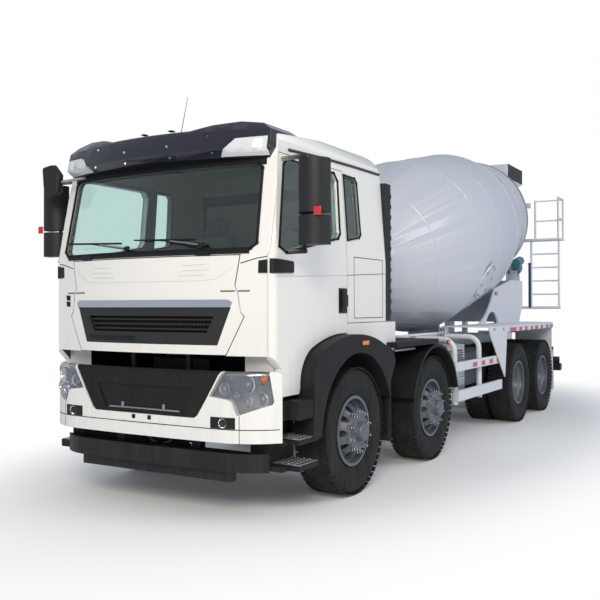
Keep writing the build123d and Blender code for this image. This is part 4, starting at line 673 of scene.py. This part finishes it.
def cab_front_trim():
    """The black parts round the windscreen, with painted shade under the visor, and the dark lines
    pressed into the corners.
    """
    piece = Piece("cab_front_trim", "satin_black")
    # The band above the screen is partly its black surround and partly painted shade under the visor.
    piece.skin("cab_shell", FRONT, band(0.99, 0.985, 2.668, 2.76), 0.004)
    piece.skin("cab_shell", FRONT, band(0.93, 0.93, 1.994, 2.045), 0.006)
    for stop in (-0.66, 0.555):
        piece.skin("cab_shell", FRONT, patch(stop - 0.06, stop + 0.06, 1.985, 2.03), 0.014)
    piece.wear("seal_rubber")
    piece.seam("cab_shell", FRONT, closed(SCREEN), 0.036, 0.010)
    for side in (1, -1):
        piece.seam("cab_shell", FRONT, flip(side, (0.845, 1.718), (0.930, 1.718)), 0.009, 0.002)
        line = flip(side, (0.866, 1.925), (0.989, 1.958), (1.098, 1.975))
        piece.seam("cab_shell", FRONT, line, 0.007, 0.001)
    for low in (1.602, 1.654):
        piece.skin("cab_shell", FRONT, ((-0.905, low), (-0.955, low + 0.004),
                                        (-0.960, low + 0.046), (-0.902, low + 0.042)), 0.004)
    piece.finish("cab")


def cab_side_trim():
    """Quarter window seals, locker lids, drip rails and the corner marker housings."""
    piece = Piece("cab_side_trim", "seal_rubber")
    for facing, side in ((LEFT, 1), (RIGHT, -1)):
        piece.wear("seal_rubber")
        piece.seam("cab_shell", facing, closed(QUARTER), 0.030, 0.008)
        piece.seam("cab_shell", facing, closed(patch(-3.656, -3.068, 1.50, 2.03)), 0.006, 0.0012)
        piece.seam("cab_shell", facing, ((-3.78, 1.868), (-3.02, 1.905)), 0.005, 0.0012)
        piece.wear("visor_blue")
        rail = []
        for y, z in ((-4.66, 2.800), (-4.20, 2.822), (-3.60, 2.836), (-3.03, 2.840)):
            place, _ = cast(("cab_shell",), (side * 2, y, z), (-side, 0, 0))
            rail.append((place.x + side * 0.004, y, z))
        piece.tube(rail, 0.012)
        piece.wear("satin_black")
        corner = flip(side, (0.997, 1.850), (1.13, 1.846), (1.13, 1.956), (1.00, 1.940))
        piece.skin("cab_shell", (side, -1, 0), corner, 0.008, ends_at=-4.93)
        piece.block(span(side, 0.12, 0.16), (-4.95, -4.90), (2.99, 3.0), 0.004)
    piece.wear("satin_black")
    foot, _ = cast(("cab_shell", "sun_visor"), (0, -4.66, 4), (0, 0, -1))
    piece.rod(foot, foot + Vector((0, 0.01, 0.04)), 0.016, 16, 0.008)
    piece.rod(foot + Vector((0, 0.008, 0.03)), foot + Vector((0, 0.115, 0.42)), 0.0035, 8, 0.002)
    piece.finish("cab")


def visor_lamps():
    """Clear marker lamps set into the visor's two lobes, and its fixing studs."""
    piece = Piece("visor_lamps", "lamp_white")
    for side in (1, -1):
        for paint, outline, thick in (
            ("satin_black", ((0.630, 2.722), (1.04, 2.722), (1.04, 2.882), (0.790, 2.872)), 0.003),
            ("lamp_white", ((0.660, 2.733), (1.03, 2.733), (1.03, 2.870), (0.795, 2.860)), 0.009),
            ("seam_paint", patch(0.930, 1.00, 2.755, 2.850), 0.013),
        ):
            piece.wear(paint).skin("sun_visor", FRONT, flip(side, *outline), thick)
        piece.wear("chrome")
        for x, z in ((0.22, 2.838), (0.23, 2.752), (0.56, 2.90), (0.60, 2.76)):
            place, normal = cast(("sun_visor",), (side * x, -6, z), (0, 1, 0))
            piece.rod(place - normal * 0.004, place + normal * 0.007, 0.013, 16, 0.009)
    piece.finish("cab")


def wiper_highlights():
    """A painted highlight: bright steel strips laid along the wipers' black levers where light glints on
    them, and dark caps over the pivots.
    """
    piece = Piece("wiper_arm_highlights", "bare_steel")
    for pivot in (0.56, -0.18):
        piece.wear("bare_steel")
        highlight_line = ((pivot, -5.110, 2.068), (pivot - 0.14, -5.110, 2.088), (pivot - 0.30, -5.088, 2.108))
        piece.tube(highlight_line, 0.006)
        piece.wear("satin_black")
        place = Vector((pivot, -5.104, 2.062))
        piece.rod(place, place + Vector((0, -0.014, 0)), 0.020, 20, 0.014)
    piece.finish("cab")


def flap_trim():
    """The flap's bright strip, pressed ribs and crease drawn in painted shade, and the wire mesh in its
    grille.
    """
    piece = Piece("flap_trim", "chrome")
    piece.skin("flap_grille", FRONT, band(0.80, 0.812, 1.598, 1.641), 0.012)
    piece.skin("front_flap", FRONT, band(0.79, 0.765, 1.638, 1.655), 0.010)
    # Painted shade: the ribs and crease lines are drawn in a darker white.
    piece.wear("rib_shade")
    for side in (1, -1):
        for z, near, far in ((1.917, 0.366, 0.577), (1.877, 0.36, 0.60), (1.838, 0.331, 0.576)):
            rib = flip(side, (near, z - 0.003), (far, z + 0.003))
            piece.seam("front_flap", FRONT, rib, 0.005, 0.0012)
        crease = flip(side, (0, 1.797), (0.473, 1.797), (0.655, 1.806), (0.80, 1.90))
        piece.seam("front_flap", FRONT, crease, 0.0035, 0.001)
        piece.wear("seal_rubber")
        piece.seam("front_flap", FRONT, flip(side, (0.703, 1.718), (0.812, 1.718)), 0.009, 0.002)
        piece.wear("rib_shade")
    piece.wear("satin_black")
    lower_mesh = ((-0.62, 1.335), (-0.10, 1.335), (-0.10, 1.375), (-0.64, 1.375))
    piece.skin("flap_grille", FRONT, lower_mesh, 0.002)
    piece.finish("front_flap")


def flap_mesh():
    """Diamond wire mesh behind the opening of the flap's grille, with dark panels behind it as painted
    shade in the grille's depth.
    """
    piece = Piece("flap_mesh", "grille_dark")
    half_width, low, high = 0.645, 1.400, 1.535
    step_apart, slant = 0.030, 0.090
    for lean in (1, -1):
        for step in range(-33, 34):
            feet = step * step_apart, step * step_apart + lean * slant
            near, far = (max(-half_width, min(half_width, x)) for x in feet)
            if abs(near - far) > 0.02:
                ends = [(x, -5.052 + front_bow(x), z) for x, z in ((near, low), (far, high))]
                piece.rod(*ends, 0.0022, 6)
    # Painted shade: dark panels just behind the mesh stand for the shade inside the grille.
    piece.wear("seal_rubber")
    panel = 0.108
    for number in range(-6, 6):
        left, right = number * panel, (number + 1) * panel
        piece.block((left, right), (-5.030 + front_bow(left), -5.020 + front_bow(left)), (1.398, 1.538))
    piece.finish("front_flap")


def door_trim(side):
    """Window seal, body line in painted shade, corner housing, handle and the mirror's red wedge."""
    sign = SIDES[side]
    facing, node_name = (sign, 0, 0), "door_" + side
    piece = Piece(node_name + "_trim", "seal_rubber")
    piece.seam(node_name, facing, closed(DOOR_WINDOW), 0.034, 0.009)
    # Painted shade: the door's body line is drawn in a darker white.
    piece.wear("rib_shade")
    piece.seam(node_name, facing, ((-4.93, 1.822), (-4.30, 1.846), (-3.80, 1.866)), 0.006, 0.0015)
    piece.wear("satin_black")
    piece.skin(node_name, facing, ((-4.975, 1.846), (-4.70, 1.856), (-4.69, 1.868),
                                   (-4.69, 1.930), (-4.70, 1.944), (-4.975, 1.955)), 0.014)
    piece.block(span(sign, 1.119, 1.128), (-3.945, -3.80), (1.545, 1.755), 0.003)
    piece.block(span(sign, 1.140, 1.158), (-3.925, -3.835), (1.60, 1.70), 0.006)
    piece.wear("chrome")
    piece.rod((sign * 1.125, -3.815, 1.60), (sign * 1.131, -3.815, 1.60), 0.011, 16)
    piece.wear("red_lens")
    piece.block(span(sign, 1.40, 1.458), (-4.862, -4.855), (2.262, 2.325), 0.002)
    piece.finish(node_name)


def corner_mirror():
    """The small mirror that looks down on the right front corner, on its own arm."""
    piece = Piece("corner_mirror", "mirror_black")
    outline = ((-1.227, 2.811), (-1.112, 2.828), (-1.023, 2.732),
               (-1.035, 2.574), (-1.148, 2.532), (-1.213, 2.640))
    verts = piece.plate([(x, -5.03, z) for x, z in outline], (0, 0.075, 0.012))
    round_edges(piece.bm, verts, 0.020, 3)
    piece.wear("arm_grey")
    arm = ((-1.05, -4.98, 2.68), (-0.98, -4.98, 2.68), (-0.90, -4.93, 2.70), (-0.86, -4.84, 2.72))
    piece.tube(arm, 0.012)
    piece.finish("cab")


def seats_padded():
    """Two upholstered seats with their backs and headrests, and the bunk behind them."""
    for number, centre in enumerate((0.46, -0.46)):
        piece = Piece(f"seat_{number + 1}", "seat_cloth")
        soft_pad(piece, (centre - 0.235, centre + 0.235), (-3.97, -3.46), (1.485, 1.625))
        soft_pad(piece, (centre - 0.225, centre + 0.225), (-3.60, -3.455), (1.66, 2.30))
        soft_pad(piece, (centre - 0.125, centre + 0.125), (-3.545, -3.455), (2.31, 2.475))
        piece.wear("satin_black")
        piece.block((centre - 0.14, centre + 0.14), (-3.85, -3.57), (1.287, 1.49), 0.01)
        piece.finish("cab", (), 60)
    bunk = Piece("bunk", "seat_cloth")
    soft_pad(bunk, (-1.02, 1.02), (-3.41, -3.06), (1.485, 1.675))
    bunk.finish("cab", ("seats",), 60)


def soft_pad(piece, x, y, z):
    """A crowned cushion whose sides pull in between its corners."""
    size = Vector((x[1] - x[0], y[1] - y[0], z[1] - z[0]))
    centre = Vector([(s[0] + s[1]) / 2 for s in (x, y, z)])
    thin = min(size)
    pad = bmesh.new()
    bmesh.ops.create_cube(pad, size=1)
    bmesh.ops.subdivide_edges(pad, edges=pad.edges[:], cuts=9, use_grid_fill=True)
    for v in pad.verts:
        u = v.co * 2
        inset = Vector()
        for i in range(3):
            j, k = (i + 1) % 3, (i + 2) % 3
            bulge = (1 - abs(u[j]) ** 4) * (1 - abs(u[k]) ** 4)
            reach = 1 - (1 - bulge) * min(0.32, 0.32 * thin / size[i])
            inset[i] = u[i] * reach / 2
        v.co = centre + inset * size
    piece.join(pad)


# ---- Bumper and its lamps -----------------------------------------------------------------
def on_bumper(x, z, names=("bumper", "bumper_grille", "headlamps")):
    """Where a line from the front first meets the bumper or its lamps."""
    return cast(names, (x, -6, z), (0, 1, 0))[0]


# Each lamp's round elements: across, height, radius, paint.
LAMP_ELEMENTS = (
    (0.762, 0.995, 0.047, "lamp_bowl"),
    (0.930, 1.031, 0.066, "lamp_bowl"),
    (1.030, 1.066, 0.034, "orange_lens"),
    (1.028, 0.924, 0.045, "lamp_bowl"),
    (0.931, 0.908, 0.044, "lamp_bowl"),
    (0.845, 0.940, 0.036, "lamp_bowl"),
)


def headlamp(side):
    """The bowls, bulbs and small covers of one headlamp."""
    bowls = Piece(f"headlamp_{side}_bowls", "lamp_tray")
    for x, z, r, paint in LAMP_ELEMENTS:
        rim = on_bumper(SIDES[side] * x, z, ("headlamps",)) + Vector((0, 0.016, 0))
        bowl = ((0.0, r), (0.006, r * 1.06), (0.020, r * 0.90), (0.032, r * 0.60),
                (0.038, r * 0.25), (0.030, r * 0.24), (0.026, 0.0))
        bulb = ((0.004, 0.0), (0.006, r * 0.16), (0.012, r * 0.26), (0.030, r * 0.22))
        cover = ((0.004, 0.0), (0.006, r * 0.5), (0.014, r * 0.86), (0.018, r * 0.80), (0.010, 0.0))
        bowls.wear(paint).lathe(bowl, rim, (0, 1, 0), 28)
        bowls.wear("lamp_white").lathe(bulb, rim, (0, 1, 0), 16)
        bowls.wear("lamp_lens" if paint == "lamp_bowl" else paint).lathe(cover, rim, (0, 1, 0), 28)
    bowls.finish("chassis")


def headlamp_trays():
    """The lamps' dark reflecting trays, a little behind the lenses."""
    piece = Piece("headlamp_trays", "lamp_tray")
    for paint, set_back, thick in (("lamp_tray", 0.036, 0.006), ("lamp_lens", 0.0, 0.003)):
        part = facing_faces("headlamps", Vector(FRONT)).copy()
        bmesh.ops.translate(part, verts=part.verts[:], vec=(0, set_back, 0))
        grow(part, (0, thick, 0))
        piece.wear(paint).join(part)
    piece.finish("chassis", ("headlamps",))


def bumper_trim():
    """Fog lamps, joint lines, tow-pin holes, the bright strip and its brackets."""
    piece = Piece("bumper_trim", "seal_rubber")
    piece.seam("bumper", FRONT, ((-1.13, 0.700), (1.13, 0.700)), 0.006, 0.0015)
    for side in (1, -1):
        piece.seam("bumper", FRONT, flip(side, (0.89, 0.800), (0.89, 0.602)), 0.004, 0.0012)
        surround = flip(side, *patch(0.655, 0.86, 0.705, 0.788))
        piece.wear("satin_black").skin("bumper", FRONT, surround, 0.003)
        place = on_bumper(side * 0.763, 0.745)
        ring = ((0.010, 0.0), (0.006, 0.020), (-0.006, 0.032), (-0.008, 0.036), (0.0, 0.038))
        lens = ((-0.012, 0.0), (-0.010, 0.020), (-0.006, 0.033), (0.0, 0.033))
        piece.wear("chrome").lathe(ring, place, (0, 1, 0), 28)
        piece.wear("lamp_lens").lathe(lens, place, (0, 1, 0), 28)
        piece.wear("seal_rubber")
    for x in (-0.084, 0.076):
        piece.skin("bumper", FRONT, patch(x - 0.017, x + 0.017, 0.727, 0.761), 0.002)
    piece.wear("bare_steel")
    y = on_bumper(0.0, 0.806).y
    piece.block((-0.36, 0.36), (y - 0.012, y + 0.004), (0.800, 0.812), 0.002)
    for x in (-0.22, 0.20):
        piece.block((x - 0.012, x + 0.012), (y - 0.009, y + 0.02), (0.812, 0.850), 0.002)
    piece.finish("chassis")


def step_treads():
    """Perforated aluminium treads on the entry steps."""
    piece = Piece("step_treads", "aluminium")
    for side in (1, -1):
        for z in (0.614, 0.422):
            piece.block(span(side, 0.99, 1.232), (-4.785, -4.51), (z, z + 0.006), 0.002)
            for row in range(6):
                for column in range(4):
                    x, y = side * (1.015 + 0.052 * column), -4.76 + 0.046 * row
                    piece.rod((x, y, z + 0.004), (x, y, z + 0.011), 0.013, 10, 0.008)
    piece.finish("chassis")


# ---- Wheels and tyres ------------------------------------------------------------------------
TREAD_BLOCKS = 54
# The four rows of tread blocks: from, to, and how far the row is turned, in radians.
TREAD_ROWS = ((-0.146, -0.098, 0.0), (-0.092, -0.004, 0.058), (0.004, 0.092, 0.0), (0.098, 0.146, 0.058))


def tyre_tread(axle, side):
    """The tread blocks of one wheel position's tyres."""
    sign = SIDES[side]
    piece = Piece(f"tread_{axle}_{side}", "tyre_rubber")
    low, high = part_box(f"tyre_{axle}_{side}")
    inner, outer = sorted((abs(low[0]), abs(high[0])))
    centres = (outer - 0.15,) if axle in "12" else (outer - 0.15, inner + 0.15)
    to_axle = Matrix.Translation((0, AXLE[axle], WHEEL_HEIGHT))
    for centre in centres:
        for step in range(TREAD_BLOCKS):
            for near, far, offset in TREAD_ROWS:
                spin = Matrix.Rotation(2 * pi * step / TREAD_BLOCKS + offset, 4, "X")
                out = Matrix.Translation((sign * (centre + (near + far) / 2), 0, 0.535))
                size = Matrix.Diagonal((far - near, 0.046, 0.010, 1))
                piece.cube(to_axle @ spin @ out @ size)
    piece.finish(f"wheel_{axle}_{side}", (), 20)


NUTS = 10
NUT_CIRCLE = 0.1675


def wheel_nuts(axle, side):
    """The wheel's studs with their washers and nuts."""
    out = Vector((SIDES[side], 0, 0))
    wheel = f"wheel_{axle}_{side}"
    piece = Piece(f"nuts_{axle}_{side}", "nut_steel")
    for step in range(NUTS):
        angle = 2 * pi * (step + 0.5) / NUTS
        around = Vector((0, cos(angle), sin(angle))) * NUT_CIRCLE
        start = Vector((SIDES[side] * 1.5, AXLE[axle], WHEEL_HEIGHT)) + around
        place, _ = cast((wheel,), start, -out)
        piece.rod(place - out * 0.002, place + out * 0.006, 0.022, 20)
        piece.rod(place + out * 0.006, place + out * 0.026, 0.0175, 6)
        piece.rod(place + out * 0.026, place + out * 0.046, 0.010, 12)
    piece.finish(wheel)


# ---- Drum --------------------------------------------------------------------------------------
DRUM_OUTLINE = ((-2.09, 0.630), (-0.34, 1.136), (1.28, 1.136), (3.05, 0.790))


def drum_radius_at(station):
    stretches = zip(DRUM_OUTLINE, DRUM_OUTLINE[1:])
    (a, ra), (b, rb) = next(ends for ends in stretches if station <= ends[1][0])
    return ra + (rb - ra) * (station - a) / (b - a)


RING_WELDS = (-1.25, -0.335, 0.45, 1.275, 2.05)
# Welds along the drum: from station, to station, angle round the drum in degrees.
LONG_WELDS = ((-2.08, -1.25, 20), (-1.25, -0.34, 35), (-1.25, -0.34, 155), (-0.34, 0.45, 52),
              (0.45, 1.28, 20), (-0.34, 0.45, 232), (0.45, 1.28, 200), (1.28, 2.05, 60),
              (1.28, 2.05, 240), (2.05, 2.56, 15), (2.05, 2.56, 130), (-2.08, -1.25, 200))
RING_SIDES = 128


def out_of_drum(angle):
    """The direction out of the drum's axis, at an angle round it in degrees."""
    across = Vector((1, 0, 0))
    return across * cos(radians(angle)) + across.cross(DRUM_AXIS) * sin(radians(angle))


def drum_welds():
    """Weld beads round the drum and along its plates, the ring's bright track and the hatch."""
    piece = Piece("drum_welds", "drum_paint")
    for station in RING_WELDS:
        bead = [(station + along, drum_radius_at(station) + rise) for along, rise in
                ((-0.010, -0.004), (-0.006, 0.0035), (0, 0.005), (0.006, 0.0035), (0.010, -0.004))]
        piece.lathe(bead, DRUM_CENTRE, DRUM_AXIS, RING_SIDES, True)
    for start, end, angle in LONG_WELDS:
        ends = [DRUM_CENTRE + DRUM_AXIS * s + out_of_drum(angle) * (drum_radius_at(s) + 0.001)
                for s in (start, end)]
        piece.rod(*ends, 0.0055, 8)
    track = ((2.5755, 0.934), (2.5755, 0.9362), (2.6645, 0.9362), (2.6645, 0.934))
    piece.wear("bare_steel").lathe(track, DRUM_CENTRE, DRUM_AXIS, RING_SIDES, True)
    out = out_of_drum(-28)
    hatch = DRUM_CENTRE + DRUM_AXIS * 0.05 + out * 1.132
    piece.wear("drum_paint").rod(hatch, hatch + out * 0.022, 0.26, 40, 0.25)
    around = DRUM_AXIS.cross(out)
    piece.wear("bare_steel")
    for step in range(8):
        angle = 2 * pi * step / 8
        bolt = hatch + (DRUM_AXIS * cos(angle) + around * sin(angle)) * 0.225
        piece.rod(bolt, bolt + out * 0.038, 0.014, 6)
    piece.finish("drum", (), 40)


# ---- Chassis sides and rear -----------------------------------------------------------------------
SIDE_NODES = ("side_guards", "rear_mudguards", "front_mudguards", "battery_box", "mixer_frame")


def on_side(y, z, sign, names=SIDE_NODES):
    """Where a line from the side first meets the truck's outer pieces."""
    return cast(names, (sign * 2.0, y, z), (-sign, 0, 0))[0]


TAPE_THICKNESS = 0.0015
# Spans along the truck that carry red tape; white tape follows each.
GUARD_TAPES = ((-0.766, -0.607), (-0.444, -0.304), (-0.131, 0.017), (0.169, 0.25))
DECK_TAPES = ((0.714, 1.026), (1.17, 1.317), (1.468, 1.599), (1.78, 1.90),
              (2.025, 2.19), (2.364, 2.496), (2.676, 2.86))
# Marker lamps: y, z, and the node that carries them.
MARKERS = ((-3.69, 1.291, "front_mudguards"), (-1.27, 1.20, "side_guards"),
           (1.745, 1.785, "mixer_frame"), (3.05, 1.285, "rear_mudguards"))
SIDE_BOLTS = ((0.406, 1.298), (0.006, 1.308), (3.10, 1.29), (2.95, 1.29))


def tape(piece, sign, node_name, spans, z, white_run):
    """Red tape over each span of a node's side, with white tape after it."""
    for near, far in spans:
        x = on_side((near + far) / 2, sum(z) / 2, sign, (node_name,)).x
        across = sorted((x, x + sign * TAPE_THICKNESS))
        piece.wear("red_tape").block(across, (near, far), z)
        piece.wear("white_tape").block(across, (far, far + white_run), z)


def side_marks():
    """Reflecting tape, bolts, marker lamps and louvres along both sides."""
    piece = Piece("side_marks", "red_tape")
    for sign in (1, -1):
        tape(piece, sign, "side_guards", GUARD_TAPES, (0.885, 0.940), 0.14)
        tape(piece, sign, "rear_mudguards", DECK_TAPES, (1.262, 1.313), 0.12)
        piece.wear("bare_steel")
        for y, z in SIDE_BOLTS:
            place = on_side(y, z, sign)
            piece.rod(place, place + Vector((sign * 0.012, 0, 0)), 0.017, 6)
        for y, z, node_name in MARKERS:
            x = on_side(y, z, sign, (node_name,)).x
            piece.wear("satin_black").block(sorted((x - sign * 0.002, x + sign * 0.006)),
                                            (y - 0.070, y + 0.070), (z - 0.024, z + 0.024), 0.004)
            piece.wear("orange_lens").block(sorted((x + sign * 0.004, x + sign * 0.0145)),
                                            (y - 0.060, y + 0.060), (z - 0.018, z + 0.018), 0.005)
    piece.wear("seal_rubber")
    for row in range(5):
        z = 0.965 + row * 0.028
        piece.block((1.084, 1.0968), (-1.18, -0.74), (z, z + 0.010), 0.002)
    piece.finish("chassis")


def mud_flaps():
    """Rubber flaps behind the steered wheels and behind the rear pair."""
    piece = Piece("mud_flaps", "flap_rubber")
    for side in (1, -1):
        piece.block(span(side, 0.90, 1.215), (-3.100, -3.088), (0.36, 1.05), 0.004)
        piece.block(span(side, 0.60, 1.235), (3.205, 3.217), (0.28, 0.95), 0.004)
        piece.wear("bare_steel")
        for x in (0.95, 1.05, 1.15):
            piece.rod((side * x, -3.104, 1.02), (side * x, -3.084, 1.02), 0.010, 6)
            piece.rod((side * x, 3.20, 0.92), (side * x, 3.224, 0.92), 0.010, 6)
        piece.wear("flap_rubber")
    piece.finish("chassis")


def on_tail(x, z):
    """The y of the tail bar's rear face."""
    return cast(("tail_bar",), (x, 6, z), (0, -1, 0))[0].y


def tail_lamps():
    """Round-cornered lamp clusters on the tail bar, and its reflecting tape."""
    piece = Piece("tail_lamps", "satin_black")
    for side in (1, -1):
        y = on_tail(side * 0.95, 0.60)
        piece.wear("satin_black")
        piece.block(span(side, 0.74, 1.16), (y - 0.004, y + 0.030), (0.615, 0.745), 0.010)
        for near, far, paint in ((0.755, 0.885, "red_lens"), (0.890, 1.010, "orange_lens"),
                                 (1.015, 1.145, "red_lens")):
            piece.wear(paint)
            piece.block(span(side, near, far), (y + 0.024, y + 0.042), (0.628, 0.732), 0.008, 3)
    for step in range(-3, 4):
        x = step * 0.20
        y = on_tail(x, 0.575)
        piece.wear("red_tape" if step % 2 else "white_tape")
        piece.block((x - 0.09, x + 0.09), (y, y + TAPE_THICKNESS), (0.55, 0.60))
    piece.finish("chassis")


def deck_fittings():
    """Valve levers, clipped pipes, the drum drive's motor and the blue post on the left side."""
    piece = Piece("deck_fittings", "bare_steel")
    for side in (1, -1):
        piece.tube(flip(side, (1.12, -2.82, 1.18), (1.14, -2.70, 1.18), (1.14, -2.36, 1.18)), 0.018)
    piece.wear("seam_paint")
    piece.block((0.685, 0.715), (-1.78, -0.15), (1.258, 1.282), 0.003)
    piece.wear("bare_steel")
    for step in range(3):
        y = -0.60 + step * 0.09
        piece.rod((0.72, y, 1.165), (0.76, y - 0.03, 1.33), 0.007, 8)
        piece.rod((0.757, y - 0.028, 1.325), (0.763, y - 0.032, 1.352), 0.014, 12, 0.010)
    piece.wear("satin_black")
    piece.block((0.66, 0.80), (-0.68, -0.34), (1.162, 1.200), 0.006)
    piece.wear("post_blue")
    piece.rod((0.728, 3.76, 1.57), (0.728, 3.76, 2.305), 0.028, 24)
    piece.rod((0.728, 3.76, 2.30), (0.728, 3.76, 2.33), 0.036, 24, 0.030)
    piece.wear("teal_paint")
    piece.rod((0.80, 2.60, 2.26), (0.80, 2.86, 2.32), 0.075, 28, 0.070)
    piece.rod((0.80, 2.86, 2.32), (0.80, 2.93, 2.336), 0.050, 28, 0.045)
    piece.block((0.75, 0.85), (2.66, 2.78), (2.16, 2.24), 0.008)
    piece.wear("satin_black")
    for y in (-1.6, -0.9, -0.2, 0.5):
        piece.block((0.425, 0.452), (y - 0.02, y + 0.02), (0.905, 0.985), 0.003)
    for z in (0.925, 0.950, 0.972):
        piece.tube(((0.436, -2.6, z), (0.440, -1.0, z), (0.436, 0.6, z)), 0.0075)
    piece.finish("chassis", (), 40)


cab_front_trim()
cab_side_trim()
visor_lamps()
wiper_highlights()
flap_trim()
flap_mesh()
for side in SIDES:
    door_trim(side)
    headlamp(side)
headlamp_trays()
corner_mirror()
seats_padded()
bumper_trim()
step_treads()
drum_welds()
side_marks()
mud_flaps()
tail_lamps()
deck_fittings()
for side in SIDES:
    for axle in AXLE:
        tyre_tread(axle, side)
        wheel_nuts(axle, side)

bpy.context.scene.view_settings.view_transform = "Standard"
